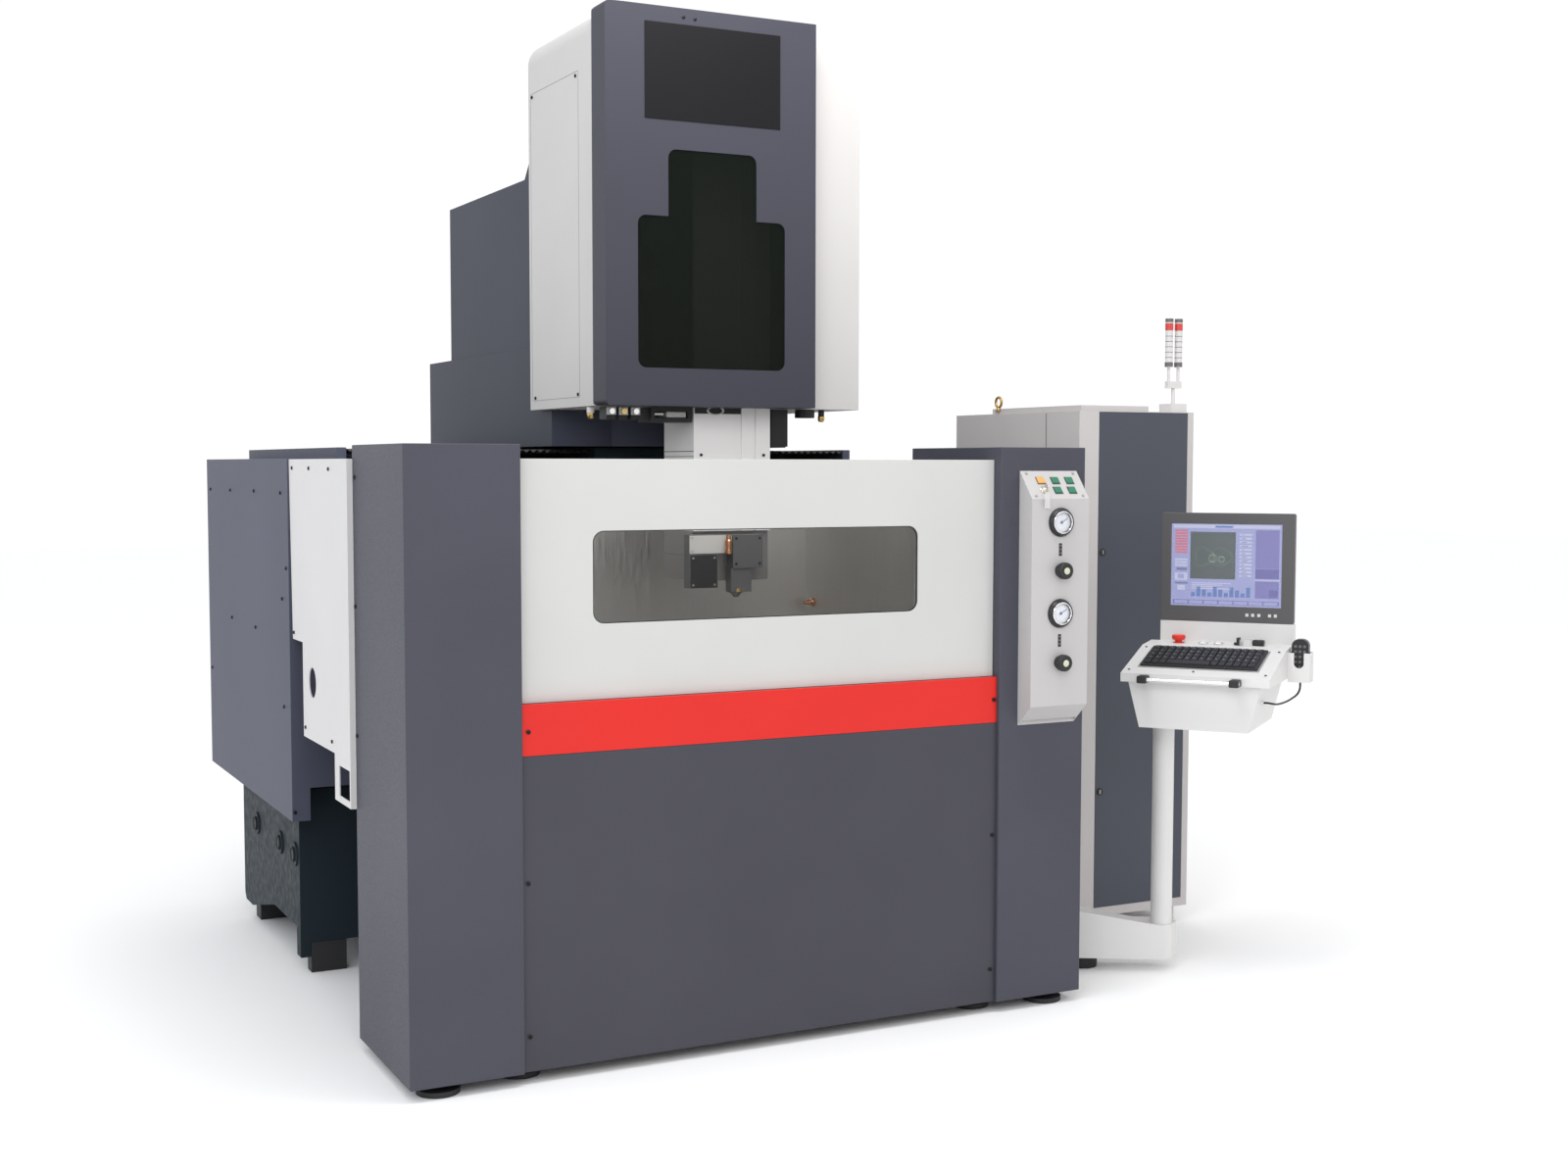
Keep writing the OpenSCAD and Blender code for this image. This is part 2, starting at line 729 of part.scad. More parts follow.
module column() color([0.25, 0.29, 0.34]) in_row() difference() {
    union() {
        block([column_x0, column_y, column_z], [column_x0 + column_w, column_rear, upper_z + over]);
        block([mid_x - upper_w / 2, upper_y, upper_z], [mid_x + upper_w / 2, column_rear, upper_top]);
        block([mid_x - ram_w / 2, ram_y, ram_low], [mid_x + ram_w / 2, upper_y + over, ram_top]);
        for (x = [saddle_x0 + y_rail_inset, saddle_x1 - y_rail_inset - rail_w], y = [column_y, column_rear - carriage_l])
            translate([x, 0, 0]) upright(y, carriage_l) translate([0, y_rail_z]) carriage_outline();
        block([mid_x - nut_w / 2, (column_y + column_rear - carriage_l) / 2, y_screw_z - journal_r - plate_t],
            [mid_x + nut_w / 2, (column_y + column_rear + carriage_l) / 2, column_z + over]);
        for (s = [-1, 1])
            translate([mid_x + s * (ram_w / 2 - z_rail_w) - z_rail_w / 2, ram_y - z_rail_h, ram_low])
                cube([z_rail_w, z_rail_h + over, ram_top - ram_low]);
    }
    block([column_x0 + cast_wall, column_y + cast_wall, column_z + cast_wall],
        [column_x0 + column_w - cast_wall, column_rear - cast_wall, upper_z]);
    block([mid_x - upper_w / 2 + cast_wall, upper_y + cast_wall, upper_z + cast_wall],
        [mid_x + upper_w / 2 - cast_wall, column_rear - cast_wall, upper_top - cast_wall]);
    block([mid_x - ram_w / 2 + cast_wall, ram_y + cast_wall, ram_low + cast_wall],
        [mid_x + ram_w / 2 - cast_wall, upper_y - cast_wall, ram_top - cast_wall]);
    rod_y(mid_x, column_y, y_screw_z, column_d, journal_r + shaft_clear);
}

// Casing of the column above the roof, with facets at the front and the rounded nose
facet = [[0, 0], [38, 35], [115, 75]];
cover_front = 1075;
cover_box_rear = 2320;
peak_rear = 2104;
peak_w = 752;
peak_break = 1336;
peak_step = 1247;
peak_rise = 96;
cover_split = cover_box_z + cover_box_h;
nose_y = 900;
nose_h = head_z - cover_box_z - seam;

module cover_plan(e) {
    w = cover_box_w / 2;
    left = [for (f = facet) [-w + f.x + e, cover_front - f.y + e]];
    right = [for (i = [len(facet) - 1 : -1 : 0]) [w - facet[i].x - e, cover_front - facet[i].y + e]];
    translate([mid_x, 0])
        polygon(concat([[-w + e, cover_box_rear - e]], left, right, [[w - e, cover_box_rear - e]]));
}

module nose_plan(e) {
    translate([mid_x, nose_y + nose_r]) circle(nose_r - e, $fn = 96);
}

module peak_outline(e) {
    y0 = head_y + head_d + seam;
    polygon([[y0 + e, cover_split - 2 * e], [peak_rear - e, cover_split - 2 * e], [peak_rear - e, cover_peak - e],
        [peak_break, cover_peak - e], [peak_step - e / 2, cover_peak + peak_rise - e], [y0 + e, cover_peak + peak_rise - e]]);
}

module column_cover() color([0.27, 0.31, 0.36]) in_row() {
    y_split = head_y + head_d + seam;
    difference() {
        union() {
            translate([0, 0, cover_box_z]) linear_extrude(nose_h) {
                cover_plan(0);
                nose_plan(0);
            }
            intersection() {
                translate([0, 0, cover_box_z + nose_h - over])
                    linear_extrude(cover_box_h - nose_h + over) cover_plan(0);
                block([mid_x - cover_box_w, y_split, cover_box_z], [mid_x + cover_box_w, cover_box_rear, cover_split]);
            }
            across(mid_x - peak_w / 2, peak_w) peak_outline(0);
        }
        translate([0, 0, cover_box_z - over]) linear_extrude(nose_h + over - sheet) {
            cover_plan(sheet);
            nose_plan(sheet);
        }
        block([mid_x - cover_box_w / 2 + sheet, y_split + sheet, cover_box_z],
            [mid_x + cover_box_w / 2 - sheet, cover_box_rear - sheet, cover_split - sheet]);
        across(mid_x - peak_w / 2 + sheet, peak_w - 2 * sheet) peak_outline(sheet);
        block([mid_x - ram_w / 2 - seam, nose_y, upper_z - seam], [mid_x + ram_w / 2 + seam, upper_y, ram_top + seam]);
    }
}

// Head cabinet: white casing round the ram and the quill
head_left = 303.5;
head_x = mid_x - quill_w / 2 - head_left;
front_frame = 22;
head_sheet = 3;
quill_gap = 8;

module head_plan(e) {
    translate([head_x + e, head_z + e]) {
        round_rect(head_w - 2 * e, head_h - 2 * e, head_r - e);
        square([head_w - 2 * e, head_h / 2]);
    }
}

module head_cabinet() color([0.86, 0.84, 0.83]) in_row() difference() {
    upright(head_y, head_d) head_plan(0);
    upright(head_y + head_sheet, head_d - 2 * head_sheet) head_plan(head_sheet);
    block([head_x + front_frame, head_y - over, head_z + front_frame],
        [head_x + head_door_w - front_frame, head_y + 2 * head_sheet, head_z + head_h - front_frame]);
    block([mid_x - quill_w / 2 - quill_gap, head_y - over, head_z - over],
        [mid_x + quill_w / 2 + quill_gap, quill_y + quill_d + quill_gap, head_z + front_frame + over]);
    block([mid_x - ram_w / 2 - seam, head_y + head_d - 2 * head_sheet, ram_low - seam],
        [mid_x + ram_w / 2 + seam, head_y + head_d + over, ram_top + seam]);
}

// Panel inside the head that carries the spool and the pulleys, with the quill's channel
panel_gap = 3;
panel_y = head_y + head_sheet + panel_gap;
spool_gap = 4;
pin_out = 14;
edge_cut_share = 1 / 3;
panel_t = 8;
panel_edge = 30;
spool_in = 136;
spool_x = head_x + spool_in;
spool_down = 208;
spool_z = head_z + head_h - spool_down;
spool_w = 78;
hub_r = 12;
pin_r = 6;
guide_in = 191;
guide_x = head_x + guide_in;
guide_up = 478;
guide_z = head_z + guide_up;
guide_w = 16;
tension_in = 166;
tension_x = head_x + tension_in;
tension_up = 347;
tension_z = head_z + tension_up;
tension_w = 14;

module wire_panel() color([0.16, 0.17, 0.18]) in_row() {
    difference() {
        block([head_x + panel_edge, panel_y, head_z + panel_edge],
            [head_x + head_w - panel_edge, panel_y + panel_t, head_z + head_h - panel_edge - edge_cut_share * head_r]);
        block([mid_x - quill_w / 2 - quill_gap, panel_y - over, head_z],
            [mid_x + quill_w / 2 + quill_gap, panel_y + panel_t + over, head_z + head_h - 2 * head_r]);
    }
    for (x = [head_x + head_sheet, head_x + head_w - head_sheet - panel_edge])
        block([x, panel_y + panel_t, head_z + 2 * head_r],
            [x + panel_edge, panel_y + panel_t + sheet, head_z + head_h - 2 * head_r]);
    rod_y(spool_x, panel_y - spool_w - spool_gap, spool_z, spool_w + spool_gap + over, hub_r - shaft_clear);
    rod_y(guide_x, panel_y - guide_w - pin_out, guide_z, guide_w + pin_out + over, pin_r - shaft_clear);
    rod_y(tension_x, panel_y - tension_w - pin_out, tension_z, tension_w + pin_out + over, pin_r - shaft_clear);
}

spool_flange = 6;
spool_step = 2;
core_share = 0.8;
groove_share = 0.86;
rim_gap = 2;
hub_out = 4;

module wire_spool() color([0.80, 0.66, 0.36]) in_row() {
    r = spool_d / 2;
    core_r = core_share * r;
    translate([spool_x, panel_y - clear, spool_z]) rotate([90, 0, 0]) rotate_extrude($fn = 96)
        polygon([[hub_r, 0], [r, 0], [r, spool_flange], [core_r, spool_flange + spool_step],
            [core_r, spool_w - spool_flange - spool_step], [r, spool_w - spool_flange], [r, spool_w], [hub_r, spool_w]]);
}

module pulley(x, z, r, w) {
    translate([x, panel_y - rim_gap, z]) rotate([90, 0, 0]) rotate_extrude($fn = 64)
        polygon([[pin_r, clear - rim_gap], [hub_r, clear - rim_gap], [hub_r, rim_gap], [r, rim_gap],
            [groove_share * r, rim_gap + w / 2], [r, rim_gap + w], [hub_r, rim_gap + w],
            [hub_r, rim_gap + hub_out + w], [pin_r, rim_gap + hub_out + w]]);
}

module guide_pulley() color([0.30, 0.30, 0.31]) in_row() pulley(guide_x, guide_z, guide_d / 2, guide_w);

module tension_pulley() color([0.30, 0.30, 0.31]) in_row() pulley(tension_x, tension_z, tension_d / 2, tension_w);

// Clamps, nozzles, frame and stop block under the head
fit_top = head_z - clear;
hoop_in = 172;
hoop_w = 124;
hoop_drop = 42;
hoop_d = 96;
hoop_wall = 12;
clamp_in = [48, 84, 120];
clamp_w = 26;
clamp_drop = 36;
clamp_y = 22;
clamp_d = 54;
nozzle_r = 9;
left_nozzle_in = 12;
left_nozzle_y = 50;
left_nozzle_low = 30;
drum_in = 679;
drum_r = 29;
drum_drop = 24;
right_nozzle_in = 734;
right_nozzle_drop = 32;
right_fit_y = 46;
stop_in = 570;
stop_w = 54;
stop_y = 46;
stop_d = 60;
stop_drop = 108;

module head_fittings() color([0.12, 0.12, 0.13]) in_row() {
    hoop_x = head_x + hoop_in;
    difference() {
        block([hoop_x, head_y, head_z - hoop_drop], [hoop_x + hoop_w, head_y + hoop_d, fit_top]);
        block([hoop_x + hoop_wall, head_y - over, head_z - hoop_drop + hoop_wall],
            [hoop_x + hoop_w - hoop_wall, head_y + hoop_d + over, fit_top - hoop_wall]);
    }
    for (x = clamp_in)
        block([head_x + x, head_y + clamp_y, head_z - clamp_drop],
            [head_x + x + clamp_w, head_y + clamp_y + clamp_d, fit_top]);
    rod_z(head_x + left_nozzle_in, head_y + left_nozzle_y, head_z - left_nozzle_low, left_nozzle_low - clear, nozzle_r);
    rod_z(head_x + right_nozzle_in, head_y + right_fit_y, head_z - right_nozzle_drop,
        right_nozzle_drop - clear, nozzle_r);
    rod_z(head_x + drum_in, head_y + right_fit_y, head_z - drum_drop, drum_drop - clear, drum_r);
    block([head_x + stop_in, head_y + stop_y, head_z - stop_drop],
        [head_x + stop_in + stop_w, head_y + stop_y + stop_d, fit_top]);
}

// Lower arm with the lower guide; it slides through the collar with the column
guide_out = 22;
guide_y = quill_y - guide_out;
arm_nose = 45;
arm_front = guide_y - arm_nose;
lower_tip_below = 2;
lower_head_r = 32;
lower_tip_h = 14;
lower_tip_r0 = 20;
lower_tip_r1 = 6;
lower_tip_z = table_top - lower_tip_below - lower_tip_h;

module lower_arm() color([0.70, 0.70, 0.71]) in_row() {
    rod_y(mid_x, arm_front, arm_z, column_y - arm_front, arm_r);
    rod_z(mid_x, guide_y, arm_z, lower_tip_z - arm_z, lower_head_r);
    translate([mid_x, guide_y, lower_tip_z]) cylinder(r1 = lower_tip_r0, r2 = lower_tip_r1, h = lower_tip_h);
}

// Head door with its stepped window
door_gap = 0.5;
door_front = head_y - head_door_d;
door_r = 14;
lens_low = 1716;
lens_shoulder = 2127;
lens_top = 2308;
lens_in = 94;
lens_w = 446;
lens_neck_in = 184;
lens_neck_w = 267;
lens_x0 = head_x + lens_in;
lens_x1 = lens_x0 + lens_w;
lens_neck_x0 = head_x + lens_neck_in;
lens_neck_x1 = lens_neck_x0 + lens_neck_w;
lens_r = 24;
lens_rebate = 8;
lens_t = 6;

module lens_outline(e) {
    translate([lens_x0 - e, lens_low - e]) round_rect(lens_x1 - lens_x0 + 2 * e, lens_shoulder - lens_low + 2 * e, lens_r + e);
    translate([lens_neck_x0 - e, lens_low - e]) round_rect(lens_neck_x1 - lens_neck_x0 + 2 * e, lens_top - lens_low + 2 * e, lens_r + e);
}

module head_door() color([0.33, 0.33, 0.38]) in_row() difference() {
    upright(door_front, head_door_d - door_gap) translate([head_x, head_z]) {
        round_rect(head_door_w, head_h, door_r);
        translate([head_door_w / 2, 0]) square([head_door_w / 2, head_h]);
    }
    block([head_x + sheet, door_front + sheet, head_z + sheet],
        [head_x + head_door_w - sheet, head_y + over, head_z + head_h - sheet]);
    upright(door_front - over, 2 * sheet + over) lens_outline(0);
}

module head_window() color([0.10, 0.11, 0.11, 0.8]) in_row()
    upright(door_front + sheet, lens_t) lens_outline(lens_rebate);

// Quill: cover plates and the guide rail on its front face
quill_x0 = mid_x - quill_w / 2;
plate_share = 0.55;
rail_share = [0.62, 0.16];
end_plate_share = [0.81, 0.19];
front_plate_t = 6;
plate_back = 1;

module quill() color([0.74, 0.73, 0.73]) in_row() difference() {
    union() {
        block([quill_x0, quill_y + front_plate_t, quill_z], [quill_x0 + quill_w, quill_y + quill_d, quill_z + quill_h]);
        block([quill_x0, quill_y + plate_back, quill_z], [quill_x0 + plate_share * quill_w, quill_y + front_plate_t + over, quill_z + quill_h]);
        block([quill_x0 + rail_share[0] * quill_w, quill_y, quill_z],
            [quill_x0 + (rail_share[0] + rail_share[1]) * quill_w, quill_y + front_plate_t + over, quill_z + quill_h]);
        block([quill_x0 + end_plate_share[0] * quill_w, quill_y + plate_back, quill_z],
            [quill_x0 + quill_w, quill_y + front_plate_t + over, quill_z + quill_h]);
    }
    block([quill_x0 + 2 * front_plate_t, quill_y + 4 * front_plate_t, quill_z + 4 * front_plate_t],
        [quill_x0 + quill_w - 2 * front_plate_t, quill_y + quill_d - 2 * front_plate_t, quill_z + quill_h - 2 * front_plate_t]);
}

// Taper stages under the quill
stage_h = 70;
stage_in = 15;
stage_front = quill_y + stage_in;
v_low = quill_z - stage_h - clear;
u_low = v_low - stage_h - clear;
bracket_out = 10;
bracket_y = quill_y - bracket_out;
bracket_side = 24;
bracket_up = 50;

module v_stage() color([0.64, 0.64, 0.65]) in_row()
    block([quill_x0, stage_front, v_low], [quill_x0 + quill_w, quill_y + quill_d, quill_z - clear]);

module u_stage() color([0.60, 0.58, 0.58]) in_row() {
    block([quill_x0, stage_front - clear, u_low], [quill_x0 + quill_w, quill_y + quill_d, v_low - clear]);
    block([quill_x0, bracket_y, u_low], [quill_x0 + quill_w - bracket_side, stage_front - clear, v_low + bracket_up]);
}

// Blocks of the upper guide from left to right: left, right, low and high, from the wire and the
// nozzle's tip, and how far they stand out
guide_drop = 188;
guide_z0 = quill_z - guide_drop;
guide_blocks = [[-156, -70, 30, 125, 40], [-156, -22, 125, 180, 34], [-22, 72, 84, 178, 40],
    [-26, 38, 16, 84, 36]];
nozzle_body_r = 24;
nozzle_body_h = 30;
nozzle_tip_h = 14;
nozzle_tip_r0 = 6;
nozzle_tip_r1 = 18;

module upper_guide() color([0.30, 0.30, 0.31]) in_row() {
    for (b = guide_blocks)
        block([mid_x + b[0], bracket_y - b[4], guide_z0 + b[2]], [mid_x + b[1], bracket_y, guide_z0 + b[3]]);
    rod_z(mid_x, guide_y, guide_z0 + nozzle_tip_h, nozzle_body_h, nozzle_body_r);
    translate([mid_x, guide_y, guide_z0]) cylinder(r1 = nozzle_tip_r0, r2 = nozzle_tip_r1, h = nozzle_tip_h);
}

// Tank door with its window
door_side_gap = 0.8;
pane_lap = 14;
door_wall = 3;

module window_outline(e) {
    translate([window_x - e, door_z + window_up - e]) round_rect(window_w + 2 * e, window_h + 2 * e, window_r + e);
}

module tank_door() color([0.86, 0.86, 0.85]) in_row() {
    low = [gap_x0 + door_side_gap, tank_door_recess, door_z + seam];
    high = [gap_x1 - door_side_gap, door_back, door_z + tank_door_h];
    wall = [door_wall, door_wall, door_wall];
    frame = pane_lap + 2 * door_wall;
    difference() {
        union() {
            sheet_box(low, high, door_wall);
            upright(tank_door_recess + over, tank_door_t - 2 * over) window_outline(frame);
        }
        upright(tank_door_recess - over, tank_door_t + 2 * over) window_outline(0);
        upright(tank_door_recess + 2 * door_wall, tank_door_t) window_outline(pane_lap);
    }
}

module door_window() color([0.75, 0.80, 0.82, 0.35]) in_row()
    upright(tank_door_recess + 2 * door_wall, pane_t) window_outline(pane_lap - clear);

// Flushing box on the right pillar
slope_turn = atan2(flush_slope_h, flush_d);
flush_chin = 55;
flush_mid = flush_x + flush_w / 2;
flush_wall = 2.5;
gauge_upper_z = 1300;
gauge_lower_z = 1056;
knob_upper_z = 1171;
knob_lower_z = 924;
gauge_proud = 13;
gauge_body_r = 30;
knob_shaft_r = 6;
knob_l = 32;
button_w = 22;
button_h = 20;
button_proud = 4;
button_deep = 10;
button_in = [52, 99, 145];
button_row = [34, 67];
button_shift = 5;
button_places = [[flush_x + button_in[0], button_row[0]], [flush_x + button_in[1], button_row[0]],
    [flush_x + button_in[2], button_row[0]], [flush_x + button_in[1] - button_shift, button_row[1]],
    [flush_x + button_in[2] - button_shift, button_row[1]]];
key_place = [flush_x + button_in[0] - 2, button_row[1] - 1];
key_r = 8;

module flush_outline(e) {
    polygon([[-e, flush_low + e / 2], [-flush_d + e, flush_low + flush_chin + e / 2],
        [-flush_d + e, flush_top - flush_slope_h - e / 2], [-e, flush_top - e - e / 2]]);
}

// Place on the slanted face, at x and at distance s below its upper edge, with Z outwards
module on_slope(x, s) {
    translate([x, -s * cos(slope_turn), flush_top - s * sin(slope_turn)]) rotate([slope_turn, 0, 0]) children();
}

module flushing_box() color([0.82, 0.80, 0.79]) in_row() difference() {
    across(flush_x, flush_w) flush_outline(0);
    across(flush_x + flush_wall, flush_w - 2 * flush_wall) flush_outline(flush_wall);
    for (z = [gauge_upper_z, gauge_lower_z])
        rod_y(flush_mid, -flush_d - over, z, flush_wall + 2 * over, gauge_body_r + clear);
    for (z = [knob_upper_z, knob_lower_z])
        rod_y(flush_mid, -flush_d - over, z, flush_wall + 2 * over, knob_shaft_r + shaft_clear);
    for (p = button_places)
        on_slope(p.x, p.y) translate([-button_w / 2 - clear, -button_h / 2 - clear, -2 * flush_wall])
            cube([button_w + 2 * clear, button_h + 2 * clear, 4 * flush_wall]);
    on_slope(key_place.x, key_place.y) translate([0, 0, -2 * flush_wall]) cylinder(r = key_r + shaft_clear, h = 4 * flush_wall);
}

gauge_deep = 34;
bezel_edge = 5;
bezel_low = 4;
dial_low = 5;
needle_pin_r = 1.5;
needle_pin_h = 8;
needle_boss_r = 4;
needle_boss_h = 1.6;
needle_w = 1.8;
needle_t = 1;
needle_tail = 6;
needle_turn = 30;
knob_neck_share = 0.8;
knob_neck_h = 8;
knob_taper = 4;
knob_edge = 3;
knob_shaft_l = 14;

module gauge(z) {
    r = gauge_d / 2;
    dial_r = dial_d / 2;
    translate([flush_mid, -flush_d, z]) rotate([90, 0, 0]) {
        rotate_extrude($fn = 64) polygon([[0, -gauge_deep], [gauge_body_r, -gauge_deep], [gauge_body_r, 0], [r, 0],
            [r, bezel_low], [r - bezel_edge, gauge_proud], [dial_r + over, gauge_proud], [dial_r, gauge_proud - 2 * over],
            [dial_r, dial_low], [0, dial_low]]);
        cylinder(r = needle_pin_r, h = needle_pin_h);
    }
}

module pressure_gauges() color([0.20, 0.21, 0.22]) in_row() {
    gauge(gauge_upper_z);
    gauge(gauge_lower_z);
}

module gauge_needle(z) {
    translate([flush_mid, -flush_d, z]) rotate([90, 0, 0]) translate([0, 0, dial_low + clear])
        rotate([0, 0, needle_turn]) difference() {
            union() {
                cylinder(r = needle_boss_r, h = needle_boss_h);
                translate([-needle_tail, -needle_w / 2, 0]) cube([dial_d / 2 + over, needle_w, needle_t]);
            }
            translate([0, 0, -over]) cylinder(r = needle_pin_r + shaft_clear, h = needle_boss_h + 2 * over);
        }
}

module gauge_needle_upper() color([0.1, 0.1, 0.3]) in_row() gauge_needle(gauge_upper_z);

module gauge_needle_lower() color([0.1, 0.1, 0.3]) in_row() gauge_needle(gauge_lower_z);

module flushing_knob(z) {
    r = knob_d / 2;
    neck = knob_neck_share * r;
    translate([flush_mid, -flush_d, z]) rotate([90, 0, 0]) {
        rotate_extrude($fn = 48) polygon([[0, clear], [neck, clear], [neck, knob_neck_h], [r, knob_neck_h + knob_taper],
            [r, knob_l - knob_edge], [r - knob_edge, knob_l], [0, knob_l]]);
        translate([0, 0, -knob_shaft_l]) cylinder(r = knob_shaft_r, h = knob_shaft_l + over);
    }
}

module flushing_knob_upper() color([0.08, 0.08, 0.09]) in_row() flushing_knob(knob_upper_z);

module flushing_knob_lower() color([0.08, 0.08, 0.09]) in_row() flushing_knob(knob_lower_z);

key_out = 4;
key_t = 2.4;
key_w = 14;
key_l = 16;

module key_switch() color([0.70, 0.70, 0.68]) in_row() on_slope(key_place.x, key_place.y) {
    translate([0, 0, -button_deep]) cylinder(r = key_r, h = button_deep + key_out);
    translate([-key_t / 2, -key_w / 2, key_out]) cube([key_t, key_w, key_l]);
}

module slope_button(i) {
    on_slope(button_places[i].x, button_places[i].y)
        translate([-button_w / 2, -button_h / 2, -button_deep]) cube([button_w, button_h, button_deep + button_proud]);
}

module orange_button() color([0.92, 0.55, 0.15]) in_row() slope_button(0);

module green_button_1() color([0.05, 0.35, 0.22]) in_row() slope_button(1);

module green_button_2() color([0.05, 0.35, 0.22]) in_row() slope_button(2);

module green_button_3() color([0.05, 0.35, 0.22]) in_row() slope_button(3);

module green_button_4() color([0.05, 0.35, 0.22]) in_row() slope_button(4);

// Control cabinet with an inner mounting plate, and its door hung on the right
cabinet_rear = cabinet_y + cabinet_d;
door_left = 77;
cabinet_door_low = 48;
cabinet_door_t = 24;
swing_gap = 1.2;
cabinet_sheet = 2.5;
lid_t = 18;
lid_inset = 22;
lid_w = 262;
lid_d = 500;
cabinet_foot_r = 30;
cabinet_foot_inset = 50;
unit_w = 90;
unit_h = 220;
unit_d = 120;
unit_side = 40;
unit_up = 90;
unit_low = 200;
plate_in = 3 * cabinet_sheet;
plate_rear = cabinet_rear - 4 * cabinet_sheet;

module control_cabinet() color([0.78, 0.76, 0.75]) in_row() {
    low = [cabinet_x, cabinet_y, cabinet_low];
    high = [cabinet_x + cabinet_w, cabinet_rear, cabinet_top];
    lid = [cabinet_x + lid_inset, cabinet_y + lid_inset, cabinet_top];
    difference() {
        sheet_box(low, high, cabinet_sheet);
        block([cabinet_x + door_left - swing_gap, cabinet_y - over, cabinet_door_low - clear],
            [cabinet_x + door_left + cabinet_door_w + clear, cabinet_y + cabinet_sheet + over, cabinet_top - cabinet_sheet]);
    }
    block(lid, lid + [lid_w, lid_d, lid_t]);
    block([low.x + plate_in, plate_rear - cabinet_sheet, cabinet_low + cabinet_sheet - over],
        [high.x - plate_in, plate_rear, cabinet_top - 2 * plate_in]);
    for (i = [0 : 2], k = [0 : 3])
        translate([low.x + unit_side + i * (unit_w + unit_side), plate_rear - cabinet_sheet - unit_d,
            unit_low + k * (unit_h + unit_up)])
            cube([unit_w, unit_d + over, unit_h]);
    for (x = [cabinet_x + cabinet_foot_inset, cabinet_x + cabinet_w - cabinet_foot_inset],
        y = [cabinet_y + cabinet_foot_inset, cabinet_rear - cabinet_foot_inset])
        rod_z(x, y, -floor_gap, floor_gap + cabinet_low, cabinet_foot_r);
}

module cabinet_door() color([0.30, 0.32, 0.36]) in_row() {
    x0 = cabinet_x + door_left;
    difference() {
        block([x0, cabinet_y, cabinet_door_low], [x0 + cabinet_door_w, cabinet_y + cabinet_door_t, cabinet_top - cabinet_sheet - clear]);
        block([x0 + cabinet_sheet, cabinet_y + cabinet_sheet, cabinet_door_low + cabinet_sheet],
            [x0 + cabinet_door_w - cabinet_sheet, cabinet_y + cabinet_door_t + over, cabinet_top - 2 * cabinet_sheet - clear]);
    }
}

// Twin signal lamp
lamp_in = 45;
lamp_x = cabinet_x + cabinet_w - lamp_in;
lamp_y = cabinet_y + 50;
lamp_gap = 38;
lamp_r = 12;
lamp_base = 62;
lamp_base_h = 28;
lamp_stem_r = 6;
lamp_tube_r = 5;
lamp_joint_z = cabinet_top + 78;
lamp_joint_h = 22;
lamp_joint_out = 8;
lamp_joint_d = 18;
lamp_low = cabinet_top + 145;
lamp_h = 156;

module signal_lamp() color([0.90, 0.88, 0.87]) in_row() {
    base = lamp_base / 2;
    reach = lamp_gap / 2 + lamp_joint_out;
    block([lamp_x - base, lamp_y - base, cabinet_top], [lamp_x + base, lamp_y + base, cabinet_top + lamp_base_h]);
    rod_z(lamp_x, lamp_y, cabinet_top, lamp_joint_z - cabinet_top, lamp_stem_r);
    block([lamp_x - reach, lamp_y - lamp_joint_d / 2, lamp_joint_z],
        [lamp_x + reach, lamp_y + lamp_joint_d / 2, lamp_joint_z + lamp_joint_h]);
    for (s = [-1, 1]) {
        rod_z(lamp_x + s * lamp_gap / 2, lamp_y, lamp_joint_z + lamp_joint_h - over,
            lamp_low - lamp_joint_z - lamp_joint_h + over, lamp_tube_r);
        rod_z(lamp_x + s * lamp_gap / 2, lamp_y, lamp_low, lamp_h, lamp_r);
    }
}

// Floor arm with a sloping top, and the pole
arm_low = 8;
arm_high = 182;
arm_end_z = 109;
arm_y0 = 353;
arm_y1 = 503;
arm_end = 50;
arm_plan = [[-21, -32], [10, -36], [50, -10], [48, 45]];
spigot_r = 20;
spigot_h = 50;

module console_stand() color([0.89, 0.88, 0.87]) in_row() {
    intersection() {
        translate([0, 0, arm_low]) linear_extrude(arm_high)
            polygon(concat([[front_w, arm_y0]], [for (p = arm_plan) [pole_x, pole_y] + p], [[front_w, arm_y1]]));
        upright(0, arm_y1) polygon([[front_w, arm_low], [pole_x + 2 * arm_end, arm_low], [pole_x + 2 * arm_end, arm_end_z],
            [pole_x - pole_d / 2, arm_end_z], [front_w, arm_high]]);
    }
    rod_z(pole_x, pole_y, arm_end_z - over, console_z - clear - arm_end_z + over, pole_d / 2);
    rod_z(pole_x, pole_y, console_z - clear - over, spigot_h, spigot_r);
}

// Cable duct from the machine's side to the control cabinet
duct_y = 720;
duct_w = 90;
duct_up = 4;
duct_h = 60;

module cable_duct() color([0.14, 0.15, 0.16]) in_row()
    block([base_x + base_w, duct_y, base_low + duct_up], [cabinet_x, duct_y + duct_w, base_low + duct_up + duct_h]);

// Console, drawn with its own u, v and Z and then turned about the pole
module on_console() {
    in_row() translate([pole_x, pole_y, 0]) rotate([0, 0, -console_turn]) children();
}
box_u0 = -36;
box_u1 = 273;
box_flare = 33;
box_v = -150;
lip_h = 25;
bend_v = 250;
deck_rise = 59;
strip_rise = 6;
deck_slope = atan2(deck_rise, bend_v);
tray_back = tray_v + tray_d;
deck_bend_z = tray_z + lip_h + deck_rise;
deck_z = deck_bend_z + strip_rise;
key_v = 160;
back_u0 = -62;
back_t = 38;
monitor_z = 986;
hole_deep = 40;
stop_u = 3;
start_u = 77;
stop_button_u = 122;
selector_u = 181;
stop_stem_r = 11;
cap_r = 12;
selector_r = 6;
holder_w = 62;
holder_v0 = 118;
holder_v1 = 180;
holder_low = 825;
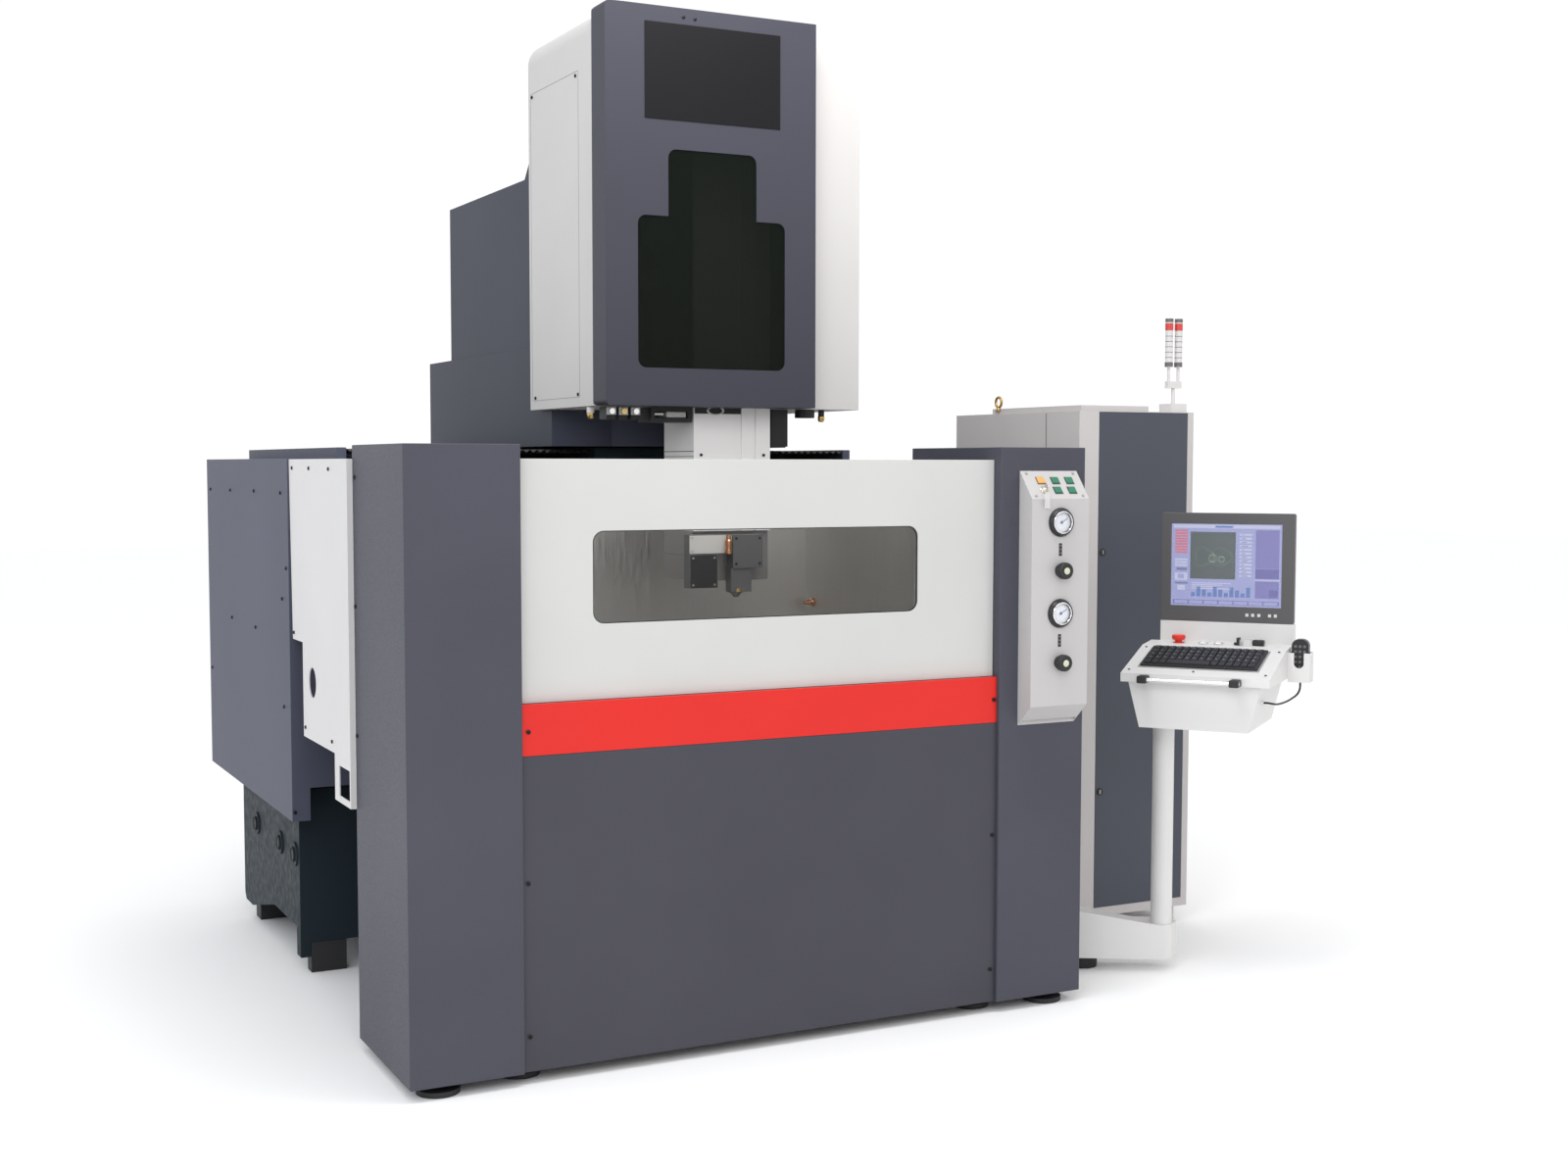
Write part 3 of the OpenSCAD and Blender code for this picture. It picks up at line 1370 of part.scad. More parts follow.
holder_top = 910;
notch_r = 14;
boss_r = 36;
gland_u = 302;
gland_v = -80;
gland_z = 785;
gland_r = 6;
gland_l = 16;
notch_up = 30;
notch_h = 40;
pin_hole_r = 5;
casing = 2.5;

module tray_outline(e) {
    polygon([[tray_v + e, tray_z + e], [tray_v + e, tray_z + lip_h - e], [tray_v + bend_v, deck_bend_z - e],
        [tray_back - e, deck_z - e], [tray_back - e, tray_z + e]]);
}

module box_outline(e) {
    polygon([[box_u0 + e, console_z + e], [box_u1 - e, console_z + e], [box_u1 + box_flare - e, tray_z + over],
        [box_u0 - box_flare + e, tray_z + over]]);
}

module console_housing() color([0.89, 0.88, 0.87]) on_console() {
    difference() {
        union() {
            upright(box_v, tray_back - box_v) box_outline(0);
            across(tray_u, tray_w) tray_outline(0);
            block([back_u0, tray_back, tray_z], [tray_corner_u, tray_back + back_t, monitor_z - seam]);
        }
        upright(box_v + casing, tray_back - box_v - 2 * casing) box_outline(casing);
        across(tray_u + casing, tray_w - 2 * casing) tray_outline(casing);
        block([back_u0 + casing, tray_back + casing, tray_z + casing],
            [tray_corner_u - casing, tray_back + back_t - casing, monitor_z - casing - seam]);
        rod_z(stop_u, key_v, deck_z - hole_deep, 2 * hole_deep, stop_stem_r + clear);
        for (u = [start_u, stop_button_u]) rod_z(u, key_v, deck_z - hole_deep, 2 * hole_deep, cap_r + clear);
        rod_z(selector_u, key_v, deck_z - hole_deep, 2 * hole_deep, selector_r + clear);
        rod_z(0, 0, console_z - over, 2 * casing, spigot_r + shaft_clear);
    }
    rod_x(gland_u - gland_l, gland_v, gland_z, gland_l, gland_r);
    difference() {
        rod_z(0, 0, console_z, spigot_h + 2 * casing, boss_r);
        rod_z(0, 0, console_z - over, spigot_h, spigot_r + shaft_clear);
    }
    difference() {
        block([tray_corner_u, holder_v0, holder_low], [tray_corner_u + holder_w, holder_v1, holder_top]);
        block([tray_corner_u + casing, holder_v0 + casing, holder_low + casing],
            [tray_corner_u + holder_w - casing, holder_v1 - casing, holder_top + over]);
        upright(holder_v0 - over, casing + 2 * over) translate([tray_corner_u + holder_w / 2, holder_top - notch_up]) {
            circle(notch_r);
            translate([-notch_r, 0]) square([2 * notch_r, notch_h]);
        }
        rod_z(tray_corner_u + holder_w / 2, (holder_v0 + holder_v1) / 2, holder_low - over, 2 * casing, pin_hole_r);
    }
}

// Monitor with a framed front and a shallower back
bezel_t = 22;
monitor_back = 28;
screen_u0 = -33;
screen_u1 = 295;
screen_z0 = 1032;
screen_z1 = 1279;
screen_sunk = 3;
back_inset = 42;
bezel_r = 6;

module monitor() color([0.33, 0.32, 0.33]) on_console() difference() {
    union() {
        upright(tray_back, bezel_t) translate([back_u0, monitor_z]) round_rect(monitor_w, monitor_h, bezel_r);
        block([back_u0 + back_inset, tray_back + bezel_t - over, monitor_z + back_inset / 2],
            [back_u0 + monitor_w - back_inset, tray_back + bezel_t + monitor_back, monitor_z + monitor_h - back_inset]);
        block([back_u0 + 2 * back_inset, tray_back + bezel_t - over, monitor_z],
            [back_u0 + monitor_w - 2 * back_inset, tray_back + back_t, monitor_z + back_inset]);
    }
    block([screen_u0, tray_back - over, screen_z0], [screen_u1, tray_back + screen_sunk, screen_z1]);
}

// Keyboard lying on the sloping deck
kb_u0 = -48;
kb_w = 333;
kb_v = -98;
kb_d = 170;
kb_t = 7;
key_rows = 5;
key_cols = 15;
key_h = 5;
key_edge = 8;
key_gap = 3;
space_from = 3;
space_to = 8;

module key(col, row, cols, pitch_u, pitch_v) {
    translate([key_edge + col * pitch_u + key_gap / 2, key_edge + row * pitch_v + key_gap / 2, kb_t - over])
        cube([cols * pitch_u - key_gap, pitch_v - key_gap, key_h + over]);
}

module keyboard() color([0.07, 0.07, 0.08]) on_console()
    translate([0, tray_v, tray_z + lip_h + clear]) rotate([deck_slope, 0, 0]) translate([kb_u0, kb_v - tray_v, 0]) {
        pitch_u = (kb_w - 2 * key_edge) / key_cols;
        pitch_v = (kb_d - 2 * key_edge) / key_rows;
        cube([kb_w, kb_d, kb_t]);
        for (i = [0 : key_cols - 1], k = [0 : key_rows - 1])
            if (k > 0 || i < space_from || i > space_to) key(i, k, 1, pitch_u, pitch_v);
        key(space_from, 0, space_to + 1 - space_from, pitch_u, pitch_v);
    }

// Handle bar along the tray's lip
bar_u0 = -18;
bar_u1 = 241;
bar_r = 5.5;
bar_out = 35;
bar_z = 847;
lug_w = 20;
bar_over = 14;
lug_h = 18;

module handle_bar() color([0.75, 0.75, 0.76]) on_console() {
    rod_x(bar_u0 - bar_over, tray_v - bar_out, bar_z, bar_u1 - bar_u0 + 2 * bar_over, bar_r);
    for (u = [bar_u0, bar_u1])
        block([u - lug_w / 2, tray_v - bar_out - lug_h / 2, bar_z - lug_h / 2], [u + lug_w / 2, tray_v, bar_z + lug_h / 2]);
}

// Controls on the strip behind the keyboard
stop_lift = 9;
stop_cap_h = 15;
stem_deep = 18;
stop_neck_share = 0.85;
stop_edge = 3;
cap_h = 8;
knob_disc_r = 14;
knob_disc_h = 6;
knob_grip_w = 8;
knob_grip_l = 26;
knob_grip_h = 16;
control_z = deck_bend_z + strip_rise * (key_v - tray_v - bend_v) / (tray_d - bend_v);

module emergency_stop() color([0.80, 0.12, 0.10]) on_console() translate([stop_u, key_v, control_z]) {
    r = stop_cap_d / 2;
    translate([0, 0, -stem_deep]) cylinder(r = stop_stem_r, h = stem_deep + stop_lift + over);
    translate([0, 0, stop_lift]) rotate_extrude($fn = 48)
        polygon([[0, 0], [stop_neck_share * r, 0], [r, stop_cap_h / 3], [r, stop_cap_h - stop_edge],
            [r - stop_edge, stop_cap_h], [0, stop_cap_h]]);
}

module push_cap(u) {
    translate([u, key_v, control_z - stem_deep]) cylinder(r = cap_r, h = stem_deep + cap_h);
}

module start_button() color([0.88, 0.87, 0.84]) on_console() push_cap(start_u);

module stop_button() color([0.88, 0.87, 0.84]) on_console() push_cap(stop_button_u);

module selector_knob() color([0.08, 0.08, 0.09]) on_console() translate([selector_u, key_v, control_z]) {
    translate([0, 0, -stem_deep]) cylinder(r = selector_r, h = stem_deep + 2 * over);
    translate([0, 0, over]) cylinder(r = knob_disc_r, h = knob_disc_h);
    translate([-knob_grip_w / 2, -knob_grip_l / 2, knob_disc_h]) cube([knob_grip_w, knob_grip_l, knob_grip_h]);
}

// Handset in its holder, and its cable to the underside of the housing
handset_w = 48;
handset_t = 28;
handset_r = 20;
relief_r = 4;
relief_h = 10;
handset_low = holder_low + casing + clear;
handset_top = 949;
handset_u = tray_corner_u + holder_w / 2;
handset_v = (holder_v0 + holder_v1) / 2;

module handset() color([0.07, 0.07, 0.08]) on_console() {
    translate([handset_u - handset_w / 2, 0, handset_low]) upright(handset_v - handset_t / 2, handset_t)
        round_rect(handset_w, handset_top - handset_low, handset_r);
    translate([handset_u, handset_v, holder_low - over]) cylinder(r = relief_r, h = relief_h);
}

cable_r = 3;
cable_sides = 8;
cable_points = [[363, 149, 824], [363, 149, 812], [362, 145, 800], [359, 134, 791], [355, 118, 785], [350, 95, 781],
    [346, 65, 778], [342, 30, 777], [338, -5, 777], [334, -35, 778], [330, -58, 780], [323, -74, 783], [313, -80, 785],
    [302, -80, 785]];

function ring(p, d, r) = let (a = norm([d.x, d.y]) < 0.01 ? [1, 0, 0] : [d.y, -d.x, 0] / norm([d.x, d.y]),
    b = cross(d, a) / norm(d)) [for (i = [0 : cable_sides - 1]) p + r * (cos(360 * i / cable_sides) * a + sin(360 * i / cable_sides) * b)];

module tube(points, r) {
    n = len(points);
    rings = [for (i = [0 : n - 1]) each ring(points[i], points[min(i + 1, n - 1)] - points[max(i - 1, 0)], r)];
    sides = [for (i = [0 : n - 2], k = [0 : cable_sides - 1]) let (a = i * cable_sides + k, b = i * cable_sides + (k + 1) % cable_sides)
        each [[a, b, b + cable_sides], [a, b + cable_sides, a + cable_sides]]];
    ends = [[for (k = [cable_sides - 1 : -1 : 0]) k], [for (k = [0 : cable_sides - 1]) (n - 1) * cable_sides + k]];
    polyhedron(points = rings, faces = concat(sides, ends), convexity = 4);
}

module handset_cable() color([0.05, 0.05, 0.05]) on_console() tube(cable_points, cable_r);

base_casting();
levelling_feet();
left_pillar();
right_pillar();
front_panel();
stripe_panel();
side_panels();
end_covers();
rear_cover();
work_tank();
work_table();
x_guideway();
control_cabinet();
signal_lamp();
console_stand();
cable_duct();
flushing_box();
pressure_gauges();
way_bellows();
x_screw();
saddle();
y_screw();
column();
column_cover();
head_cabinet();
wire_panel();
head_fittings();
lower_arm();
head_door();
head_window();
quill();
v_stage();
u_stage();
upper_guide();
wire_spool();
guide_pulley();
tension_pulley();
tank_door();
door_window();
flushing_knob_upper();
flushing_knob_lower();
key_switch();
orange_button();
green_button_1();
green_button_2();
green_button_3();
green_button_4();
gauge_needle_upper();
gauge_needle_lower();
console_housing();
monitor();
keyboard();
handle_bar();
emergency_stop();
start_button();
stop_button();
selector_knob();
handset();
handset_cable();
cabinet_door();
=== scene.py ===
import bpy
import json
import math
from mathutils import Matrix, Vector


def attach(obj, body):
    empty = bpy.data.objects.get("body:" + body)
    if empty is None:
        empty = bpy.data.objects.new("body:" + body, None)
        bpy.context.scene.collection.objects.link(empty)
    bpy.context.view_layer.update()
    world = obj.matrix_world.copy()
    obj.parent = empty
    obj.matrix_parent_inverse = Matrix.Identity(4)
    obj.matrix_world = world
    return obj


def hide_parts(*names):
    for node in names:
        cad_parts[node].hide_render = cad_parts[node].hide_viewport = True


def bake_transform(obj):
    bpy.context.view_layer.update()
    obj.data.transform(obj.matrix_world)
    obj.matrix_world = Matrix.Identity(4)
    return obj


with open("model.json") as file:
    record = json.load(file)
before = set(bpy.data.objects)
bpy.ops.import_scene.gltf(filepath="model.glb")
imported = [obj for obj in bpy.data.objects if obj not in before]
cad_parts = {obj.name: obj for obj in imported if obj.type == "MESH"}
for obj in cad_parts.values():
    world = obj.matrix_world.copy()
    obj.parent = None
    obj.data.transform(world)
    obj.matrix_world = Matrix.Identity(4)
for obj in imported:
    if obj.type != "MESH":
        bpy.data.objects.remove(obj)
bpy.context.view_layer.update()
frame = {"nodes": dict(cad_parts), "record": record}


def placed(name, data):
    """A new object of this mesh, curve, lamp or camera, put into the scene."""
    thing = bpy.data.objects.new(name, data)
    bpy.context.scene.collection.objects.link(thing)
    return thing


def turn(degrees, axis):
    """Rotation by so many degrees about an axis."""
    return Matrix.Rotation(math.radians(degrees), 4, axis)


# The camera stands left of the machine at eye height and looks along its front
CAMERA_PLACE = (-2.53806, -5.25363, 1.48156)
CAMERA_YAW = -27.08
CAMERA_DIP = 3.748
CAMERA_ROLL = 0.078
FOCAL_LENGTH = 43.07
FILM_WIDTH = 36
camera_data = bpy.data.cameras.new("photo_camera")
camera_data.lens = FOCAL_LENGTH
camera_data.sensor_width = FILM_WIDTH
camera = placed("photo_camera", camera_data)
camera.matrix_world = (Matrix.Translation(CAMERA_PLACE) @ turn(CAMERA_YAW, "Z") @ turn(90 - CAMERA_DIP, "X")
                       @ turn(CAMERA_ROLL, "Z"))
bpy.context.scene.camera = camera


# Cable of the handset: a black sheathed signal cable, 6 mm thick, that hangs from the handset in a
# shallow bow and goes into a gland on the console's lower box.
CORNER = Vector((-1.368, -1.065437, 0.03))
POLE = (2302, 160)
CONSOLE_TURN = -52
CABLE_RADIUS = 0.003


def at(x, y, z):
    """Place in the machine's own millimetres, from the left pillar's corner, as metres in the row."""
    return CORNER + Vector((x, y, z)) / 1000


def on_console(u, v, z):
    """Place in the console's own millimetres, which turn with it about its pole."""
    a = math.radians(CONSOLE_TURN)
    return at(POLE[0] + u * math.cos(a) - v * math.sin(a), POLE[1] + u * math.sin(a) + v * math.cos(a), z)


def through(points, steps):
    """Smooth line through the points, with that many steps between two of them."""
    p = [points[0]] + list(points) + [points[-1]]
    line = []
    for i in range(1, len(p) - 2):
        for k in range(steps):
            t = k / steps
            line.append(0.5 * ((2 * p[i]) + (p[i + 1] - p[i - 1]) * t
                               + (2 * p[i - 1] - 5 * p[i] + 4 * p[i + 1] - p[i + 2]) * t ** 2
                               + (3 * p[i] - p[i - 1] - 3 * p[i + 1] + p[i + 2]) * t ** 3))
    return line + [p[-2]]


def select(piece):
    """Selects this piece alone, in object mode."""
    if bpy.context.object and bpy.context.object.mode != "OBJECT":
        bpy.ops.object.mode_set(mode="OBJECT")
    bpy.ops.object.select_all(action="DESELECT")
    piece.select_set(True)
    bpy.context.view_layer.objects.active = piece


def primitive(add, **facts):
    """A new basic form, which is then the only piece selected."""
    bpy.ops.object.select_all(action="DESELECT")
    add(**facts)
    return bpy.context.object


def tube(name, line, radius):
    """Tube along a line of points, closed at both ends."""
    curve = bpy.data.curves.new(name, "CURVE")
    curve.dimensions = "3D"
    curve.bevel_depth = radius
    curve.bevel_resolution = 3
    curve.use_fill_caps = True
    spline = curve.splines.new("POLY")
    spline.points.add(len(line) - 1)
    for point, place in zip(spline.points, line):
        point.co = (*place, 1)
    select(placed(name, curve))
    bpy.ops.object.convert(target="MESH")
    bpy.ops.object.shade_smooth_by_angle(angle=math.radians(40))
    return bpy.context.object


route = [(363, 149, 824), (363, 149, 812), (362, 145, 800), (359, 134, 791), (355, 118, 785),
         (350, 95, 781), (346, 65, 778), (342, 30, 777), (338, -5, 777), (334, -35, 778), (330, -58, 780),
         (323, -74, 783),
         (313, -80, 785), (302, -80, 785)]
cable_line = through([on_console(*p) for p in route], 3)
cable = tube("handset_cable_sheath", cable_line, CABLE_RADIUS)


def new_material(name):
    """Empty finish, with its nodes and its shader."""
    material = bpy.data.materials.new(name)
    material.use_nodes = True
    tree = material.node_tree
    return material, tree, tree.nodes["Principled BSDF"]


def adjust(node, **values):
    """Sets inputs of a node; a _ here is a space in an input's name."""
    for name, value in values.items():
        node.inputs[name.replace("_", " ")].default_value = value


def noise(tree, scale, detail=3, stretch=(1, 1, 1), rough=0.5):
    """Noise on Object coordinates, in metres, stretched along an axis where asked."""
    place = tree.nodes.new("ShaderNodeTexCoord")
    size = tree.nodes.new("ShaderNodeMapping")
    adjust(size, Scale=stretch)
    tree.links.new(place.outputs["Object"], size.inputs["Vector"])
    grain = tree.nodes.new("ShaderNodeTexNoise")
    adjust(grain, Scale=scale, Detail=detail, Roughness=rough)
    tree.links.new(size.outputs["Vector"], grain.inputs["Vector"])
    return grain.outputs["Fac"]


def between(tree, share, low, high, start=0.0, end=1.0):
    """A number that goes from low to high as the share goes from start to end."""
    span = tree.nodes.new("ShaderNodeMapRange")
    adjust(span, From_Min=start, From_Max=end, To_Min=low, To_Max=high)
    tree.links.new(share, span.inputs["Value"])
    return span.outputs["Result"]


def blend_colours(tree, share, first, second):
    """A colour that goes from the first to the second as the share goes from 0 to 1."""
    mix = tree.nodes.new("ShaderNodeMix")
    mix.data_type = "RGBA"
    adjust(mix, A=(*first, 1), B=(*second, 1))
    tree.links.new(share, mix.inputs["Factor"])
    return mix.outputs["Result"]


def bump(tree, shader, height, distance, strength=1.0):
    """Fine relief of a surface, that deep in metres."""
    node = tree.nodes.new("ShaderNodeBump")
    adjust(node, Distance=distance, Strength=strength)
    tree.links.new(height, node.inputs["Height"])
    tree.links.new(node.outputs["Normal"], shader.inputs["Normal"])


def clouded(tree, shader, scale, colour, low, high):
    """Colour that drifts in soft clouds between two shares of itself."""
    dark = tuple(c * low for c in colour)
    light = tuple(min(1.0, c * high) for c in colour)
    clouds = between(tree, noise(tree, scale, 4), 0, 1, 0.3, 0.7)
    tree.links.new(blend_colours(tree, clouds, dark, light), shader.inputs["Base Color"])


def uneven_sheen(tree, shader, share, low, high, start=0.3, end=0.7):
    """Roughness that goes from low to high with the share."""
    tree.links.new(between(tree, share, low, high, start, end), shader.inputs["Roughness"])


def finish_of(name, colour, roughness, spread=0.05, cloud=3.0, grain=1500, depth=1e-5, metal=0.0,
              shine=0.35):
    """A finish with slightly uneven colour and sheen, and a fine grain in its surface."""
    material, tree, shader = new_material(name)
    clouded(tree, shader, cloud, colour, 1 - spread, 1 + spread)
    fine = noise(tree, grain, 2)
    uneven_sheen(tree, shader, fine, roughness * 0.88, roughness * 1.12)
    adjust(shader, Metallic=metal, Specular_IOR_Level=shine)
    bump(tree, shader, fine, depth)
    return material


cable_black = finish_of("black_cable_sheath", (0.012, 0.012, 0.013), 0.42, grain=2500, depth=2e-5)
cable.data.materials.append(cable_black)
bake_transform(cable)
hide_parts("handset_cable")

# The studio: a pale floor that runs on behind the machine, a white sky and four large soft lights.
# None of it belongs to the machine.
floor = primitive(bpy.ops.mesh.primitive_plane_add, size=60, location=(0, 0, 0))
floor.name = "studio_floor"
floor_white, tree, shader = new_material("studio_floor_white")
adjust(shader, Base_Color=(0.97, 0.97, 0.97, 1), Roughness=0.9)
floor.data.materials.append(floor_white)

sky = bpy.data.worlds.new("studio_sky")
sky.use_nodes = True
tree = sky.node_tree
side = tree.nodes.new("ShaderNodeTexCoord")
split = tree.nodes.new("ShaderNodeSeparateXYZ")
tree.links.new(side.outputs["Generated"], split.inputs["Vector"])
to_right = between(tree, split.outputs["X"], 0, 1, -0.9, -0.2)
tree.links.new(blend_colours(tree, to_right, (0.86, 0.93, 1.0), (1, 1, 1)),
               tree.nodes["Background"].inputs["Color"])
adjust(tree.nodes["Background"], Strength=1.04)
bpy.context.scene.world = sky
bpy.context.scene.view_settings.view_transform = "Standard"


def soft_light(name, place, aim, size, power):
    """Large flat lamp at its place in metres, turned to what it aims at."""
    data = bpy.data.lights.new(name, "AREA")
    data.shape = "RECTANGLE"
    data.size, data.size_y = size
    data.energy = power
    lamp = placed(name, data)
    lamp.location = place
    lamp.rotation_euler = (Vector(aim) - Vector(place)).to_track_quat("-Z", "Y").to_euler()


soft_light("front_light", (-3.4, -6.2, 4.2), (-0.4, 0, 1.2), (4.0, 3.0), 120)
soft_light("top_light", (-0.5, -0.5, 5.5), (-0.2, 0, 1.0), (4.5, 4.5), 40)
soft_light("tank_light", (-0.3, -1.4, 3.4), (-0.4, -0.2, 1.1), (1.2, 0.8), 26)
soft_light("left_light", (-5.2, -1.2, 2.8), (-1.2, 0.4, 1.3), (2.5, 2.5), 25)


# Front enclosure: two folded pillars in a pebbled powder coat, a smooth lower panel and the red
# stripe panel above it. The panels lie a little behind the pillars and are held by small screws.
bodies = {n: b for b, members in frame["record"]["behaviour"]["bodies"].items() for n in members}


def belongs(piece, node_name, replaced=True):
    """The piece moves with the node's body, and stands for the node."""
    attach(piece, bodies[node_name])
    if replaced:
        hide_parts(node_name)


def modified(piece, kind, **settings):
    """Applies a modifier of that kind and settings to a piece."""
    change = piece.modifiers.new("change", kind)
    for name, value in settings.items():
        setattr(change, name, value)
    bpy.ops.object.modifier_apply(modifier=change.name)


def flatter(piece):
    """Turns the normals of rounded edges to the large faces beside them, so that these look flat."""
    modified(piece, "WEIGHTED_NORMAL", keep_sharp=True, weight=80)


def rounded(piece, edge, rounds):
    """Rounds the sharp edges of a piece, as folded, cast or moulded edges are."""
    modified(piece, "BEVEL", width=edge, segments=rounds, limit_method="ANGLE",
             angle_limit=math.radians(38))


def dressed(node_name, material, edge=0.0010, rounds=2):
    """A merged copy of a CAD node with its edges rounded, as folded or moulded edges are."""
    piece = placed(node_name + "_form", frame["nodes"][node_name].data.copy())
    select(piece)
    if piece.data.has_custom_normals:
        bpy.ops.mesh.customdata_custom_splitnormals_clear()
    bpy.ops.object.mode_set(mode="EDIT")
    bpy.ops.mesh.select_all(action="SELECT")
    bpy.ops.mesh.remove_doubles(threshold=2e-5)
    bpy.ops.mesh.dissolve_limited(angle_limit=math.radians(0.4))
    bpy.ops.object.mode_set(mode="OBJECT")
    if edge:
        rounded(piece, edge, rounds)
    bpy.ops.object.shade_smooth_by_angle(angle=math.radians(32))
    flatter(piece)
    piece.data.materials.clear()
    piece.data.materials.append(material)
    belongs(piece, node_name)
    return piece


def faces_where(piece, test):
    """Selects the faces whose middle and normal pass the test, in edit mode."""
    bpy.ops.object.mode_set(mode="OBJECT")
    for vertex in piece.data.vertices:
        vertex.select = False
    for edge in piece.data.edges:
        edge.select = False
    for face in piece.data.polygons:
        face.select = bool(test(face.center, face.normal))
    bpy.ops.object.mode_set(mode="EDIT")
    bpy.ops.mesh.select_mode(type="FACE")


def settled(piece, name, material, edge=0.0, rounds=2, smooth=32):
    """Ends the shaping of a piece: edges rounded, place put into its mesh, one finish on it."""
    select(piece)
    piece.name = name
    bpy.ops.object.transform_apply(location=True, rotation=True, scale=True)
    if edge:
        rounded(piece, edge, rounds)
    bpy.ops.object.shade_smooth_by_angle(angle=math.radians(smooth))
    if edge:
        flatter(piece)
    piece.data.materials.clear()
    piece.data.materials.append(material)
    return piece


def joined(pieces, name):
    """Several pieces of one finish made one piece."""
    select(pieces[0])
    for piece in pieces:
        piece.select_set(True)
    if len(pieces) > 1:
        bpy.ops.object.join()
    pieces[0].name = name
    return pieces[0]


def copies(piece, name, placings):
    """Copies of a piece that was made at the origin, one for each placing, made one piece."""
    made = []
    for placing in placings:
        made.append(placed(name, piece.data.copy()))
        made[-1].data.transform(placing)
    bpy.data.objects.remove(piece)
    return joined(made, name)


FACING = {"-Y": turn(90, "X"), "+Y": turn(-90, "X"), "-X": turn(-90, "Y"), "+X": turn(90, "Y"),
          "+Z": Matrix.Identity(4)}


def screws(name, body_node, places, facing, size, material):
    """Button head screws with a hexagon socket, all facing one way."""
    head = primitive(bpy.ops.mesh.primitive_cylinder_add, vertices=24, radius=size, depth=size * 0.55,
                     location=(0, 0, size * 0.27))
    faces_where(head, lambda c, n: n.z > 0.9)
    bpy.ops.mesh.inset(thickness=size * 0.30)
    bpy.ops.transform.translate(value=(0, 0, size * 0.18))
    bpy.ops.mesh.inset(thickness=size * 0.22)
    bpy.ops.mesh.inset(thickness=size * 0.02)
    bpy.ops.transform.translate(value=(0, 0, -size * 0.45))
    settled(head, name, material, smooth=40)
    group = copies(head, name, [Matrix.Translation(at(*p)) @ FACING[facing] for p in places])
    belongs(group, body_node, replaced=False)
    return group


def textured_coat(name, colour):
    """Powder coat with the round pebbles of a coarse texture, about 2 to 4 mm across."""
    material, tree, shader = new_material(name)
    clouded(tree, shader, 2.2, colour, 0.94, 1.06)
    pebbles = noise(tree, 330, 3, rough=0.45)
    uneven_sheen(tree, shader, pebbles, 0.52, 0.40, 0.35, 0.65)
    adjust(shader, Specular_IOR_Level=0.16)
    bump(tree, shader, pebbles, 0.0008, 1.0)
    return material


pillar_coat = textured_coat("pillar_textured_coat", (0.064, 0.065, 0.083))
panel_coat = finish_of("lower_panel_paint", (0.052, 0.051, 0.065), 0.46, grain=1400, depth=6e-5,
                       shine=0.25)
stripe_red = finish_of("red_stripe_paint", (0.62, 0.014, 0.009), 0.40, spread=0.03, grain=1400,
                       depth=4e-5)
dark_screw = finish_of("blackened_screw", (0.02, 0.02, 0.022), 0.38, metal=0.6, grain=3000)
for name in ("left_pillar", "right_pillar"):
    dressed(name, pillar_coat, edge=0.0022, rounds=3)
dressed("front_panel", panel_coat, edge=0.0012)
dressed("stripe_panel", stripe_red, edge=0.0012)
PANEL_FACE = 12
FRONT_SCREW = 0.0055
for name, node_name, places in (("front_screws", "front_panel",
                                 ((295, 457), (297, 86), (1608, 457), (1605, 90))),
                                ("stripe_screws", "stripe_panel", ((298, 820), (1610, 824)))):
    screws(name, node_name, [(x, PANEL_FACE, z) for x, z in places], "-Y", FRONT_SCREW, dark_screw)
for name, node_name, x, side in (("pillar_side_screws", "left_pillar", 0, "-X"),
                                 ("right_pillar_side_screws", "right_pillar", 1893, "+X")):
    screws(name, node_name, [(x, 433, 1420), (x, 440, 1099), (x, 440, 775)], side, FRONT_SCREW, dark_screw)


# Tank door: a folded white sheet metal door with a round cornered opening. Its clear pane lies in
# a rebate behind the opening, on a thin dark seal.
door_white = finish_of("tank_door_paint", (0.52, 0.52, 0.505), 0.42, spread=0.02, depth=4e-5)
dressed("tank_door", door_white, edge=0.0014)


def see_through(name, colour, alpha, roughness=0.04, shine=0.5):
    """Clear or smoked sheet that lets the light pass and still shines."""
    material, tree, shader = new_material(name)
    smears = noise(tree, 9, 3)
    uneven_sheen(tree, shader, smears, roughness * 0.7, roughness * 1.6)
    adjust(shader, Base_Color=(*colour, 1), Alpha=alpha, Specular_IOR_Level=shine)
    return material


clear_pane = see_through("clear_window_pane", (0.03, 0.03, 0.03), 0.07)
dressed("door_window", clear_pane, edge=0.0008)
seal_rubber = finish_of("window_seal_rubber", (0.02, 0.02, 0.022), 0.6, grain=2500, depth=3e-5)


def outward(piece):
    """Turns every face of a closed shell outwards."""
    select(piece)
    bpy.ops.object.mode_set(mode="EDIT")
    bpy.ops.mesh.select_all(action="SELECT")
    bpy.ops.mesh.normals_make_consistent(inside=False)
    bpy.ops.object.mode_set(mode="OBJECT")


